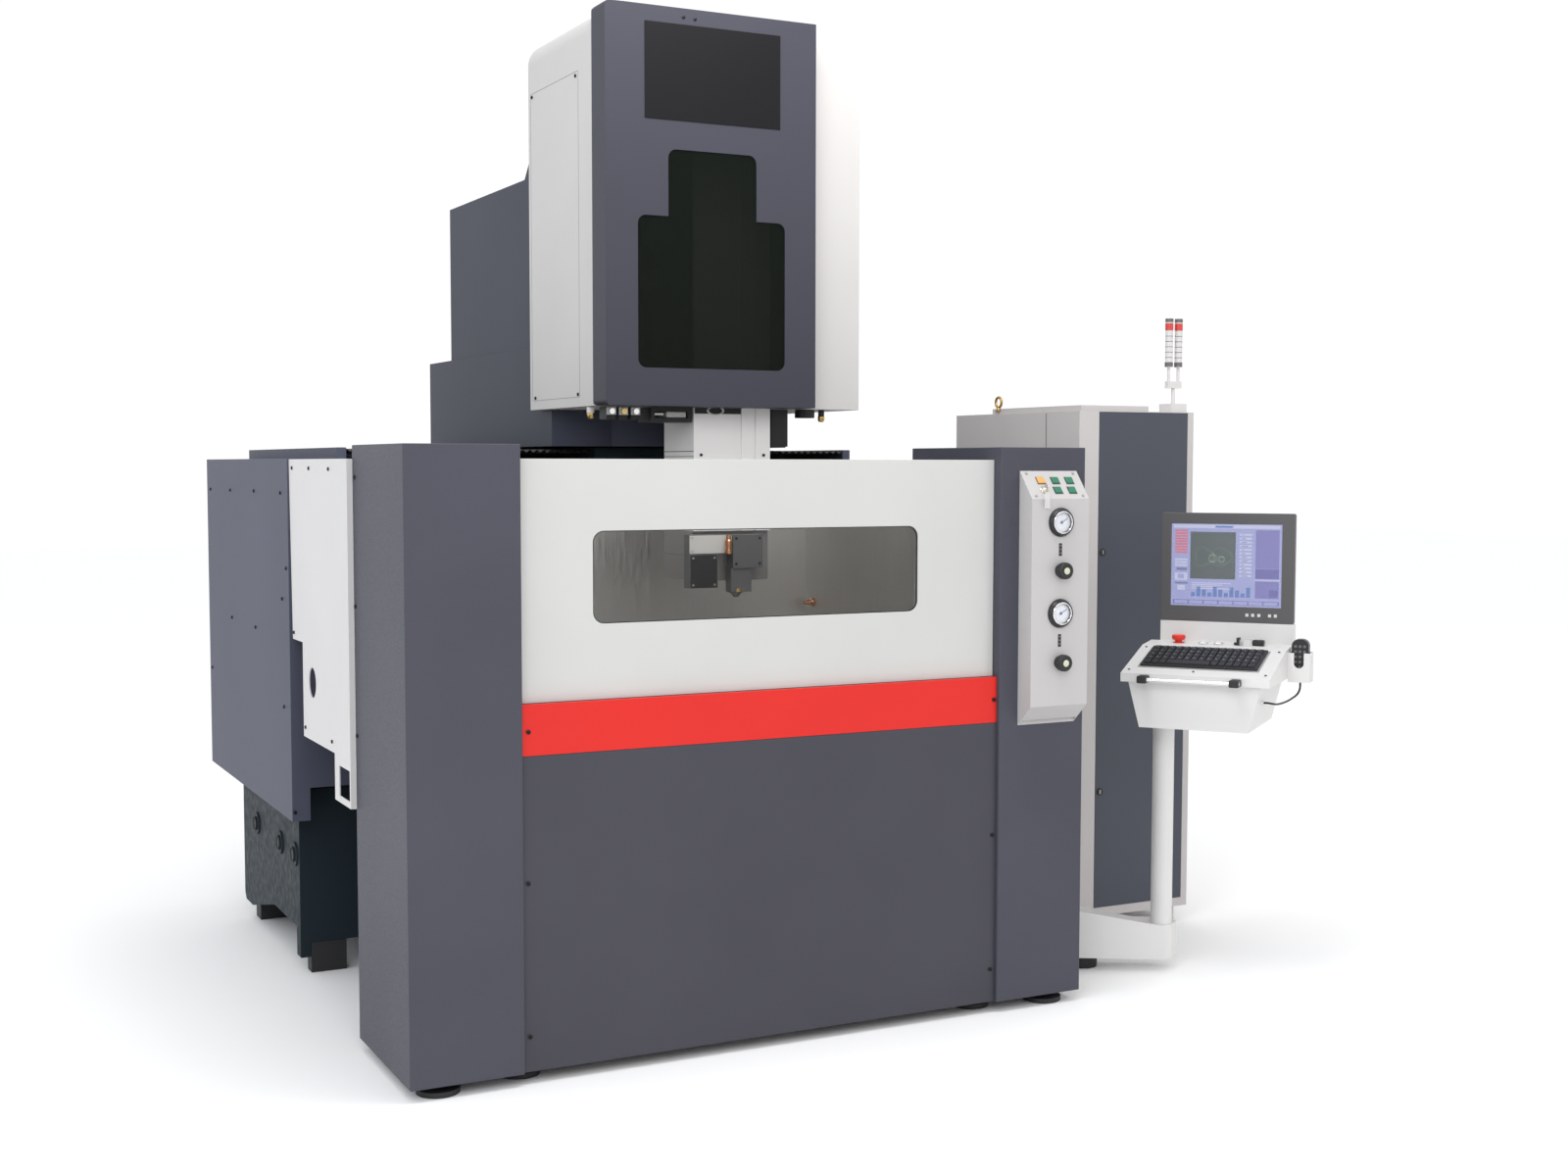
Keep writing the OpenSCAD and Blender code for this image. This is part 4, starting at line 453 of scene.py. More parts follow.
def round_frame(name, low, high, radius, width, y, depth, material, steps=10):
    """Flat frame with round corners round an opening in the front, from its outline swept by width."""
    outline = []
    for cx, cz, start in ((high[0] - radius, high[1] - radius, 0), (low[0] + radius, high[1] - radius, 90),
                          (low[0] + radius, low[1] + radius, 180),
                          (high[0] - radius, low[1] + radius, 270)):
        for i in range(steps + 1):
            a = math.radians(start + 90 * i / steps)
            outline.append((cx, cz, math.cos(a), math.sin(a)))
    mesh = bpy.data.meshes.new(name)
    n = len(outline)
    rings = ((radius, y), (radius - width, y), (radius - width, y + depth), (radius, y + depth))
    points = [at(cx + r * c, back, cz + r * s) for r, back in rings for cx, cz, c, s in outline]
    faces = [(k * n + i, k * n + (i + 1) % n, ((k + 1) % 4) * n + (i + 1) % n, ((k + 1) % 4) * n + i)
             for k in range(4) for i in range(n)]
    mesh.from_pydata(points, [], faces)
    piece = placed(name, mesh)
    outward(piece)
    return settled(piece, name, material)


window_seal = round_frame("window_seal", (472, 1069), (1382, 1293), 28, 2.2, 33.5, 6, seal_rubber)
belongs(window_seal, "door_window", replaced=False)


# Work tank: a box of brushed stainless sheet, welded in its corners and open to the front, where the
# door closes it. A rinsing nozzle of brass sits low on its right wall.
def brushed(name, colour, roughness, across=(1, 1, 1), grain=260, metal=1.0):
    """Metal brushed or ground along one axis, with faint clouds."""
    material, tree, shader = new_material(name)
    lines = noise(tree, grain, 2, across)
    clouded(tree, shader, 2.5, colour, 0.9, 1)
    uneven_sheen(tree, shader, lines, roughness * 0.8, roughness * 1.25)
    adjust(shader, Metallic=metal)
    bump(tree, shader, lines, 5e-5, 0.08)
    return material


tank_steel = brushed("tank_brushed_steel", (0.66, 0.645, 0.62), 0.46, across=(1, 1, 0.04))
dressed("work_tank", tank_steel, edge=0.0)
table_steel = brushed("ground_table_steel", (0.55, 0.56, 0.57), 0.28, across=(1, 0.06, 1), grain=500)
dressed("work_table", table_steel, edge=0.0012)


# Base: two painted castings with ribs inside, the front one under the tank and the rear bed with
# bosses on its flanks. They stand on round pads with threaded stems and on black blocks.
def rough_cast(name, colour):
    """Painted casting: low waves from the mould under a satin paint."""
    material, tree, shader = new_material(name)
    waves = noise(tree, 38, 4)
    clouded(tree, shader, 3, colour, 0.88, 1.08)
    uneven_sheen(tree, shader, waves, 0.42, 0.58, 0.35, 0.65)
    adjust(shader, Specular_IOR_Level=0.08)
    bump(tree, shader, waves, 0.0008, 0.5)
    return material


casting_paint = rough_cast("casting_blue_grey_paint", (0.016, 0.024, 0.031))
base_grey = rough_cast("front_base_grey_paint", (0.075, 0.078, 0.090))
base = dressed("base_casting", casting_paint, edge=0.003)
base.data.materials.append(base_grey)
BED_SEAM = 1200
for face in base.data.polygons:
    if face.center.y < at(0, BED_SEAM, 0).y:
        face.material_index = 1
foot_black = finish_of("levelling_foot_black", (0.018, 0.018, 0.020), 0.55, grain=700, depth=0.0001)
dressed("levelling_feet", foot_black, edge=0.002)

# Round lifting plugs in the bosses of the bed's flanks
plug = primitive(bpy.ops.mesh.primitive_cylinder_add, vertices=40, radius=0.022, depth=0.006,
                 location=(0, 0, 0.003))
faces_where(plug, lambda c, n: n.z > 0.9)
bpy.ops.mesh.inset(thickness=0.004)
bpy.ops.transform.translate(value=(0, 0, -0.004))
bpy.ops.mesh.inset(thickness=0.009)
bpy.ops.transform.translate(value=(0, 0, 0.002))
settled(plug, "bed_plug", foot_black, edge=0.0006)
BED_FRONT = 1241
BED_DEPTH = 809
BOSS_HEIGHT = 315
boss_shares = (0.06, 0.3, 0.72)
plugs = copies(plug, "bed_plugs",
               [Matrix.Translation(at(x, BED_FRONT + share * BED_DEPTH, BOSS_HEIGHT)) @ FACING[side]
                for x, side in ((22, "-X"), (1871, "+X")) for share in boss_shares])
belongs(plugs, "base_casting", replaced=False)


# Side panels: white sheet screwed over both ends of the tank, with a round hole for a hose and a
# tab with a window at the front.
side_white = finish_of("side_panel_coat", (0.57, 0.555, 0.55), 0.45, spread=0.02, grain=1300, depth=6e-5)
dressed("side_panels", side_white, edge=0.0012)
SIDE_SCREW = 0.005
side_places = ((640, 1440), (860, 1441), (1060, 1442), (1065, 985), (640, 735), (940, 735))
for name, x, side in (("side_panel_screws", -15, "-X"), ("right_side_panel_screws", 1908, "+X")):
    screws(name, "side_panels", [(x, y, z) for y, z in side_places], side, SIDE_SCREW, dark_screw)


# End covers: dark sheet boxes over both ends of the guideway, each with a notch in its front edge,
# and the slotted rear cover between them. All are held by small screws along their edges.
cover_paint = finish_of("cover_blue_grey_paint", (0.072, 0.077, 0.108), 0.46, spread=0.07, cloud=1.6,
                        grain=1300, depth=7e-5, shine=0.10)
dressed("end_covers", cover_paint, edge=0.0018)
dressed("rear_cover", cover_paint, edge=0.0015)
cover_places = ((2266, 1369), (1927, 1370), (1560, 1372), (1193, 1371), (1133, 1160), (1190, 1071),
                (1932, 964), (1566, 961), (2291, 769), (1187, 763))
COVER_SCREW = 0.0052
for name, x, side in (("left_cover_screws", -20, "-X"), ("right_cover_screws", 1913, "+X")):
    screws(name, "end_covers", [(x, y, z) for y, z in cover_places], side, COVER_SCREW, dark_screw)
screws("cover_edge_screws", "end_covers", [(-13, 1104, 472), (1906, 1104, 472)], "-Y", COVER_SCREW,
       dark_screw)
screws("rear_cover_screws", "rear_cover",
       [(x, 2331, z) for x in (170, 550, 946, 1343, 1723) for z in (470, 980, 1480)], "+Y", COVER_SCREW,
       dark_screw)


# Way covers: black folded fabric on stiff ribs, two on the roof beside the column and two on the
# tank's rear wall beside the arm's collar. Each is made as one fixed zigzag.
FABRIC = 0.0016
fold_black = finish_of("bellows_fabric_black", (0.014, 0.014, 0.016), 0.62, grain=1800, depth=0.00012)


def bellows(name, start, end, section, fold, depth, axis_up):
    """Zigzag folds from start to end along X, with their section across it, bent from a grid."""
    count = max(2, int(round(abs(end - start) / fold)))
    piece = primitive(bpy.ops.mesh.primitive_grid_add, x_subdivisions=4 * count, y_subdivisions=2, size=1)
    low, high, base = section
    for vertex in piece.data.vertices:
        share = vertex.co.x + 0.5
        wave = abs((share * count) % 1.0 - 0.5) * 2
        x = start + (end - start) * share
        across = low + (high - low) * (vertex.co.y + 0.5)
        lift = base + depth * wave
        vertex.co = at(x, across, lift) if axis_up == "Z" else at(x, lift, across)
    outward(piece)
    modified(piece, "SOLIDIFY", thickness=FABRIC, offset=0)
    settled(piece, name, fold_black, smooth=20)
    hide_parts("way_bellows")
    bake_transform(piece)


ROOF = (1106, 2312, 1488)
ARM_SLOT = (762, 868, 1067)
bellows("roof_bellows_left", 147.6, 888.4, ROOF, 22, 8, "Z")
bellows("roof_bellows_right", 1745.4, 1387.6, ROOF, 22, 8, "Z")
bellows("arm_bellows_left", 416, 1076.4, ARM_SLOT, 24, 9, "Y")
bellows("arm_bellows_right", 1508, 1199.6, ARM_SLOT, 24, 9, "Y")


# X axis: two profile rails and a ball screw on the bed, ground and greased, with the saddle of the
# column on them. The saddle's plates close the roof and the tank's slot.
rail_steel = brushed("ground_rail_steel", (0.50, 0.51, 0.53), 0.26, across=(0.03, 1, 1), grain=700)
dressed("x_guideway", rail_steel, edge=0.0008)


def banded(name, direction, scale, dark, light, roughness, depth, strength):
    """Bright metal with fine bands on it, the turns of a thread or of wound wire."""
    material, tree, shader = new_material(name)
    adjust(shader, Metallic=1.0)
    wave = tree.nodes.new("ShaderNodeTexWave")
    wave.bands_direction = direction
    adjust(wave, Scale=scale)
    place = tree.nodes.new("ShaderNodeTexCoord")
    tree.links.new(place.outputs["Object"], wave.inputs["Vector"])
    turns = wave.outputs["Fac"]
    tree.links.new(blend_colours(tree, turns, dark, light), shader.inputs["Base Color"])
    uneven_sheen(tree, shader, turns, *roughness, 0, 1)
    bump(tree, shader, turns, depth, strength)
    return material


screw_steel = banded("ball_screw_steel", "DIAGONAL", 60, (0.30, 0.30, 0.31), (0.62, 0.62, 0.63),
                     (0.40, 0.20), 0.001, 0.6)
dressed("x_screw", screw_steel, edge=0.0008)
dressed("y_screw", screw_steel, edge=0.0008)
dressed("saddle", casting_paint, edge=0.0012)
dressed("column", casting_paint, edge=0.002)


# Column cover: folded blue grey sheet with slanted edges at the front, a round nose under the head
# and a narrower upper box whose top slopes down to the back.
column_paint = finish_of("column_cover_paint", (0.038, 0.041, 0.062), 0.44, spread=0.06, cloud=1.6,
                         grain=1300, depth=7e-5, shine=0.12)
dressed("column_cover", column_paint, edge=0.002)


# Head: a light cabinet with round long edges, with a screwed access panel in its left side, and the
# dark door on its front. The door's sign plate is bare black and its window of smoked sheet.
head_white = finish_of("head_cabinet_coat", (0.51, 0.495, 0.485), 0.46, spread=0.02, grain=1300,
                       depth=6e-5)
dressed("head_cabinet", head_white, edge=0.002)
door_paint = finish_of("head_door_paint", (0.043, 0.044, 0.058), 0.50, spread=0.05, cloud=1.5, grain=1400,
                       depth=5e-5, shine=0.2)
dressed("head_door", door_paint, edge=0.0022, rounds=3)
smoked = see_through("smoked_window_sheet", (0.006, 0.008, 0.006), 0.74, 0.08, shine=0.06)
dressed("head_window", smoked, edge=0.0008)
plate_black = finish_of("bare_sign_plate", (0.006, 0.006, 0.007), 0.45, grain=2000, shine=0.15)
SIGN_SIZE = (0.409, 0.0024, 0.258)
SIGN_MIDDLE = (1033.5, 548.9, 2515)
sign = primitive(bpy.ops.mesh.primitive_cube_add, size=1)
sign.scale = SIGN_SIZE
sign.location = at(*SIGN_MIDDLE)
settled(sign, "bare_sign_plate", plate_black, edge=0.0008)
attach(sign, "head_door")

# The joint round the access panel, a thin line in the cabinet's left side
seam_dark = finish_of("seam_shadow", (0.03, 0.03, 0.033), 0.8, grain=2000)
seam_pale = finish_of("pale_seam_shadow", (0.22, 0.21, 0.205), 0.8, grain=2000)
HEAD_LEFT = 714
HEAD_SCREW = 0.005
SEAM_WIDTH = 1.2
SEAM_DEPTH = 0.4
panel_seam = round_frame("head_side_panel_seam", (748, 1640), (1140, 2537), 4, SEAM_WIDTH, 0, SEAM_DEPTH,
                         seam_pale, steps=4)
for vertex in panel_seam.data.vertices:
    along, out, up = vertex.co - CORNER
    vertex.co = CORNER + Vector((HEAD_LEFT / 1000 - out, along, up))
outward(panel_seam)
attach(panel_seam, "y_column")
screws("head_side_screws", "head_cabinet",
       [(HEAD_LEFT, y, z) for y, z in ((767, 2525), (1125, 2527), (760, 1648), (1112, 1648))], "-X",
       HEAD_SCREW, dark_screw)
DOOR_FRONT = 550
screws("head_door_screws", "head_door", [(944, DOOR_FRONT, 2664), (978, DOOR_FRONT, 2662)], "-Y", 0.0045,
       dark_screw)


# Inside the head: a black anodised panel with the brass wire's supply spool, the deflection pulleys
# and the quill's channel.
anodised = finish_of("black_anodised_plate", (0.075, 0.075, 0.068), 0.4, metal=0.3, grain=2000,
                     depth=2e-5)
dressed("wire_panel", anodised, edge=0.001)
wire_brass = banded("wound_brass_wire", "Y", 420, (0.35, 0.22, 0.07), (0.80, 0.60, 0.26), (0.42, 0.28),
                    0.0003, 0.8)
dressed("wire_spool", wire_brass, edge=0.0012)
pulley_grey = brushed("anodised_pulley_grey", (0.22, 0.22, 0.23), 0.3, grain=900)
dressed("guide_pulley", pulley_grey, edge=0.0006)
dressed("tension_pulley", pulley_grey, edge=0.0006)
fitting_black = finish_of("moulded_black_fitting", (0.016, 0.016, 0.018), 0.45, grain=1600, depth=5e-5)
dressed("head_fittings", fitting_black, edge=0.0015)


# Quill and its taper stages: bright ground cover plates with a guide rail between them, then two
# ground blocks that carry the upper wire guide.
bright = brushed("ground_cover_plate", (0.88, 0.855, 0.845), 0.45, across=(1, 1, 0.05), grain=420,
                 metal=0.1)
dressed("quill", bright, edge=0.0008)
stage_steel = brushed("ground_stage_block", (0.30, 0.285, 0.275), 0.36, across=(0.05, 1, 1), grain=420,
                      metal=0.5)
dressed("v_stage", stage_steel, edge=0.0012)
dressed("u_stage", stage_steel, edge=0.0012)
guide_grey = finish_of("anodised_guide_grey", (0.13, 0.13, 0.132), 0.4, metal=0.2, depth=3e-5)
dressed("upper_guide", guide_grey, edge=0.0012)
arm_steel = brushed("stainless_arm", (0.60, 0.60, 0.61), 0.3, across=(1, 0.05, 1), grain=420)
dressed("lower_arm", arm_steel, edge=0.001)


# Flushing box: a bent white sheet box on the right pillar, screwed on from its slanted face. It has
# two pressure gauges over two regulator knobs, a key switch and five small push buttons.
BOX_TOP = 1437
BOX_FACE = -60
GAUGE_X = 1771
SLOPE = math.atan2(74, 60)


def on_slope(x, down, out=0):
    """Placing on the box's slanted face, that far down from its top edge and out of it."""
    place = Matrix.Translation(at(x, -down * math.cos(SLOPE), BOX_TOP - down * math.sin(SLOPE)))
    return place @ Matrix.Rotation(SLOPE, 4, "X") @ Matrix.Translation((0, 0, out / 1000))


def facing(x, y, z, side="-Y"):
    """Placing at a point of the machine, with its Z turned to that side."""
    return Matrix.Translation(at(x, y, z)) @ FACING[side]


def owned(piece, node_name):
    """The piece belongs to the node and moves with it, beside the node's own form."""
    belongs(piece, node_name, replaced=False)
    return piece


def block_of(name, low, high, node_name, material, edge=0.0005, placing=None):
    """Rectangular piece between two corners, in the machine's millimetres or in a placing's own."""
    piece = primitive(bpy.ops.mesh.primitive_cube_add, size=1)
    piece.scale = [(b - a) / 1000 for a, b in zip(low, high)]
    middle = [(a + b) / 2 for a, b in zip(low, high)]
    piece.location = Vector(middle) / 1000 if placing else at(*middle)
    settled(piece, name, material, edge)
    if placing:
        piece.data.transform(placing)
    return owned(piece, node_name)


def turned(name, profile, node_name, material, placing, steps=48):
    """Turned piece: its profile of radius and height in millimetres, spun about the placing's Z."""
    mesh = bpy.data.meshes.new(name)
    edges = [(i, i + 1) for i in range(len(profile) - 1)]
    mesh.from_pydata([(r / 1000, 0, h / 1000) for r, h in profile], edges, [])
    piece = placed(name, mesh)
    select(piece)
    bpy.ops.object.mode_set(mode="EDIT")
    bpy.ops.mesh.select_all(action="SELECT")
    bpy.ops.mesh.spin(steps=steps, angle=2 * math.pi, center=(0, 0, 0), axis=(0, 0, 1))
    bpy.ops.mesh.select_all(action="SELECT")
    bpy.ops.mesh.remove_doubles(threshold=5e-6)
    bpy.ops.mesh.normals_make_consistent(inside=False)
    bpy.ops.object.mode_set(mode="OBJECT")
    settled(piece, name, material, smooth=35)
    piece.data.transform(placing)
    return owned(piece, node_name)


def flat_disc(name, radius, height, node_name, material, placing):
    """Round plate or screw head that lies on the placing's ground."""
    return turned(name, [(0, 0), (radius, 0), (radius, height), (0, height)], node_name, material, placing)


def collar(name, bore, body, side, rim, top, node_name, material, placing):
    """Turned ring round a button, bevelled from the height of its side in to its rim."""
    foot = 0.1
    profile = [(bore, foot), (body, foot), (body, side), (rim, top), (bore, top), (bore, foot)]
    return turned(name, profile, node_name, material, placing)


def torus(name, radius, thick, around, section, node_name, material, placing):
    """Ring of round wire about the placing's Z, in millimetres."""
    ring = primitive(bpy.ops.mesh.primitive_torus_add, major_radius=radius / 1000,
                     minor_radius=thick / 1000, major_segments=around, minor_segments=section)
    settled(ring, name, material, smooth=60)
    ring.data.transform(placing)
    return owned(ring, node_name)


box_white = finish_of("flushing_box_coat", (0.47, 0.455, 0.45), 0.46, spread=0.02, grain=1300,
                      depth=6e-5)
dressed("flushing_box", box_white, edge=0.0014, rounds=3)
steel_screw = finish_of("zinc_plated_screw", (0.45, 0.44, 0.42), 0.32, metal=1.0, grain=2500)
for x in (1695, 1847):
    for down in (10, 86):
        flat_disc("slope_screw", 3.6, 1.6, "flushing_box", steel_screw, on_slope(x, down, 0.05))
bezel_black = finish_of("gauge_bezel_black", (0.022, 0.022, 0.024), 0.28, grain=1800)
chrome = finish_of("polished_chrome", (0.82, 0.82, 0.83), 0.10, metal=1.0, grain=2500, depth=5e-6)
dial_white = finish_of("gauge_dial_white", (0.78, 0.79, 0.82), 0.5, grain=2000)
print_black = finish_of("dial_print_black", (0.02, 0.02, 0.025), 0.6, grain=2000)
needle_blue = finish_of("gauge_needle_blue", (0.03, 0.06, 0.30), 0.4, grain=2000)
dial_glass = see_through("gauge_glass", (0.8, 0.82, 0.85), 0.10)
dressed("pressure_gauges", bezel_black, edge=0.0006)
ring_outline = [(27.4, 12.6), (29.6, 12.6), (30.4, 13.4), (29.4, 14.4), (27.4, 14.4), (26.8, 13.4),
                (27.4, 12.6)]
MARK_TIP = 24.6
MARK_COUNT = 40
for name, z in (("upper", 1300), ("lower", 1056)):
    dressed("gauge_needle_" + name, needle_blue, edge=0.0001)
    face = facing(GAUGE_X, BOX_FACE, z)
    on_dial = face @ Matrix.Translation((0, 0, 0.00505))
    under_rim = face @ Matrix.Translation((0, 0, 0.0105))
    flat_disc("dial_face_" + name, 26.6, 0.15, "pressure_gauges", dial_white, on_dial)
    turned("chrome_ring_" + name, ring_outline, "pressure_gauges", chrome, face)
    flat_disc("dial_glass_" + name, 26.8, 1.0, "pressure_gauges", dial_glass, under_rim)
    marks = []
    for i in range(MARK_COUNT + 1):
        ray = face @ turn(225 - 270 * i / MARK_COUNT, "Z")
        start = MARK_TIP - (4.6 if i % 5 == 0 else 2.6)
        marks.append(block_of("dial_mark", (start, -0.18, 5.2), (MARK_TIP, 0.18, 5.26), "pressure_gauges",
                              print_black, 0, ray))
    owned(joined(marks, "dial_marks_" + name), "pressure_gauges")
    block_of("name_strip_" + name, (1766, -60.7, z - 90), (1776, -59.8, z - 56), "flushing_box",
             bezel_black)
    for k in range(3):
        block_of("name_strip_line", (1768, -60.9, z - 64 - 10 * k), (1774, -60.6, z - 60.5 - 10 * k),
                 "flushing_box", pulley_grey, 0.0001)
knob_black = finish_of("moulded_knob_black", (0.020, 0.020, 0.021), 0.38, grain=1800, depth=2e-5)
KNOB_RIBS = 24
cap_cream = finish_of("knob_cap_cream", (0.56, 0.56, 0.42), 0.4, grain=1800)
for name, z in (("upper", 1171), ("lower", 924)):
    node_name = "flushing_knob_" + name
    dressed(node_name, knob_black, edge=0.0006)
    face = facing(GAUGE_X, BOX_FACE, z)
    turned("knob_cap_" + name, [(0, 31.5), (9, 31.5), (9, 32.4), (7.5, 33.2), (0, 33.4)], node_name,
           cap_cream, face)
    ribs = []
    for i in range(KNOB_RIBS):
        ray = face @ turn(360 * i / KNOB_RIBS, "Z")
        ribs.append(block_of("knob_rib", (21.2, -0.7, 14), (22.6, 0.7, 28), node_name, knob_black, 0.0002,
                             ray))
    owned(joined(ribs, "knob_ribs_" + name), node_name)
lock_steel = finish_of("nickel_plated_lock", (0.55, 0.53, 0.48), 0.24, metal=1.0, grain=2500)
dressed("key_switch", lock_steel, edge=0.0006)
collar("lock_collar", 8.4, 11.5, 2.2, 9.8, 3.4, "flushing_box", lock_steel, on_slope(1729, 66))
torus("key_ring", 9, 0.8, 32, 8, "key_switch", lock_steel, facing(1724, -61, 1389, "-X"))
tag_sheet = see_through("key_tag_sheet", (0.70, 0.69, 0.68), 0.55, 0.1)
block_of("key_tag", (1713, -68.5, 1338), (1730, -67.2, 1381), "flushing_box", tag_sheet, 0.0005)


def lens(name, colour):
    """Coloured translucent cap with a clear coat."""
    material = finish_of(name, colour, 0.22, spread=0.08)
    adjust(material.node_tree.nodes["Principled BSDF"], Coat_Weight=0.4)
    return material


orange_lens = lens("orange_button_lens", (0.80, 0.36, 0.08))
green_lens = lens("green_button_lens", (0.012, 0.16, 0.085))
button_frame = finish_of("button_frame_grey", (0.10, 0.10, 0.10), 0.4)
for node_name, x, down, material in (("orange_button", 1731, 34, orange_lens),
                                     ("green_button_1", 1778, 34, green_lens),
                                     ("green_button_2", 1824, 34, green_lens),
                                     ("green_button_3", 1773, 67, green_lens),
                                     ("green_button_4", 1819, 67, green_lens)):
    dressed(node_name, material, edge=0.0012, rounds=3)
    for low, high in (((-13, 10.4, 0), (13, 12, 1.4)), ((-13, -12, 0), (13, -10.4, 1.4)),
                      ((-13, -10.4, 0), (-11.4, 10.4, 1.4)), ((11.4, -10.4, 0), (13, 10.4, 1.4))):
        block_of("button_frame", low, high, "flushing_box", button_frame, 0.0003, on_slope(x, down, 0.05))


# Control cabinet: a folded steel cabinet with a raised lid, a dark door hung on its right, a brass
# lifting eye and the twin signal lamp on a grey base.
cabinet_coat = finish_of("cabinet_coat", (0.50, 0.475, 0.47), 0.45, spread=0.03, grain=1300, depth=6e-5)
cabinet_dark = finish_of("cabinet_door_paint", (0.055, 0.061, 0.080), 0.44, spread=0.05, cloud=1.2,
                         grain=1300, depth=6e-5)
dressed("control_cabinet", cabinet_coat, edge=0.002)
dressed("cabinet_door", cabinet_dark, edge=0.002)
LOCK_FACE = 2402
block_of("cabinet_side_seam", (2307.4, 777, 30), (2308.3, 779, 1618), "control_cabinet", seam_dark, 0)
eye_brass = finish_of("brass_lifting_eye", (0.50, 0.33, 0.12), 0.3, metal=1.0, depth=2e-5)
torus("lifting_eye", 17, 4.5, 36, 12, "control_cabinet", eye_brass, facing(2330, 1085, 1661, "-X"))
turned("lifting_eye_foot", [(0, 0), (13, 0), (13, 3), (8, 6), (6, 11), (0, 12)], "control_cabinet",
       eye_brass, facing(2330, 1085, 1632, "+Z"))
lock_black = finish_of("door_lock_black", (0.02, 0.02, 0.02), 0.35, grain=1800)
for z in (420, 1180):
    turned("door_lock", [(0, 0), (12, 0), (12, 2), (10.5, 3.2), (0, 3.2)], "cabinet_door", lock_black,
           facing(LOCK_FACE, 600, z))
    block_of("door_lock_slot", (LOCK_FACE - 1.6, 596.2, z - 6), (LOCK_FACE + 1.6, 597.2, z + 6),
             "cabinet_door",
             steel_screw, 0.0002)
for z in range(1200, 1398, 22):
    block_of("cabinet_vent", (2755.6, 1000, z), (2756.6, 1180, z + 6), "control_cabinet", seam_dark, 0.0004)
lamp_white = finish_of("signal_lamp_housing", (0.60, 0.585, 0.575), 0.35, depth=3e-5)
dressed("signal_lamp", lamp_white, edge=0.001)
lamp_red = lens("signal_lamp_red", (0.55, 0.05, 0.04))
lamp_grey = finish_of("signal_lamp_grey", (0.13, 0.12, 0.12), 0.4, depth=2e-5)


def sleeve(name, bore, body, low, high, node_name, material, placing):
    """Plain turned ring from one height to the other."""
    profile = [(bore, low), (body, low), (body, high), (bore, high), (bore, low)]
    return turned(name, profile, node_name, material, placing)


LAMP_DEEP = 650
LAMP_LOW = 1767
TUBE_RADIUS = 12.05
for x in (2692, 2730):
    place = facing(x, LAMP_DEEP, LAMP_LOW, "+Z")
    sleeve("lamp_base_ring", TUBE_RADIUS, 13.2, 2, 16, "signal_lamp", lamp_grey, place)
    sleeve("lamp_red_ring", TUBE_RADIUS, 13.2, 118, 140, "signal_lamp", lamp_red, place)
    sleeve("lamp_cap_ring", TUBE_RADIUS, 13.0, 144, 155, "signal_lamp", lamp_grey, place)
    for z in range(30, 115, 17):
        turned("lamp_lens_groove", [(12.03, z), (12.5, z + 1), (12.03, z + 2)], "signal_lamp", lamp_grey,
               place)


# Console stand and duct: a floor arm with a round pole, and the covered cable duct between the
# machine and the cabinet.
console_white = finish_of("console_coat", (0.66, 0.65, 0.64), 0.42, spread=0.02, grain=1300, depth=5e-5)
dressed("console_stand", console_white, edge=0.0015)
duct_black = finish_of("duct_black", (0.03, 0.032, 0.034), 0.5, grain=1300, depth=6e-5)
dressed("cable_duct", duct_black, edge=0.0015)


# Console: bent white sheet with a sloping deck and a lower box, screwed together. The monitor has a
# dark bezel with five keys, and the screen shows the machine's own program window.
dressed("console_housing", console_white, edge=0.0012, rounds=3)
bezel_grey = finish_of("monitor_bezel_grey", (0.090, 0.086, 0.088), 0.42, depth=4e-5)
dressed("monitor", bezel_grey, edge=0.0018, rounds=3)


def glow(name, colour):
    """Lit part of a screen."""
    material, tree, shader = new_material(name)
    cells = noise(tree, 260, 1)
    dim = tuple(c * 0.90 for c in colour)
    light = blend_colours(tree, between(tree, cells, 0, 1, 0.35, 0.65), dim, colour)
    tree.links.new(light, shader.inputs["Emission Color"])
    adjust(shader, Base_Color=(0.02, 0.02, 0.02, 1), Emission_Strength=0.8, Roughness=0.25)
    return material


screen = {"ground": glow("screen_lavender", (0.42, 0.45, 0.80)),
          "red": glow("screen_red", (0.74, 0.22, 0.30)),
          "plot": glow("screen_plot_green", (0.085, 0.11, 0.11)),
          "purple": glow("screen_purple", (0.24, 0.22, 0.58)),
          "violet": glow("screen_violet", (0.17, 0.15, 0.48)),
          "pale": glow("screen_pale", (0.66, 0.68, 0.93)),
          "blue": glow("screen_blue", (0.13, 0.24, 0.60)),
          "line": glow("screen_line", (0.36, 0.52, 0.36)),
          "dark": glow("screen_dark_row", (0.20, 0.22, 0.42))}


def console_top(u, v, z):
    """Placing at a point of the console, turned as it is."""
    return Matrix.Translation(on_console(u, v, z)) @ turn(CONSOLE_TURN, "Z")


def console_front(u, v, z):
    """The same with its Z turned to the operator."""
    return console_top(u, v, z) @ FACING["-Y"]


def console_block(name, low, high, node_name, material, edge=0.0005):
    """Block given in the console's own millimetres."""
    middle = [(a + b) / 2 for a, b in zip(low, high)]
    half = [(b - a) / 2 for a, b in zip(low, high)]
    return block_of(name, [-h for h in half], half, node_name, material, edge, console_top(*middle))


SCREEN_LEFT = -33
SCREEN_LOW = 1032
SCREEN_WIDTH = 328
SCREEN_HEIGHT = 247
SCREEN_FACE = 203
LAYER = 0.25


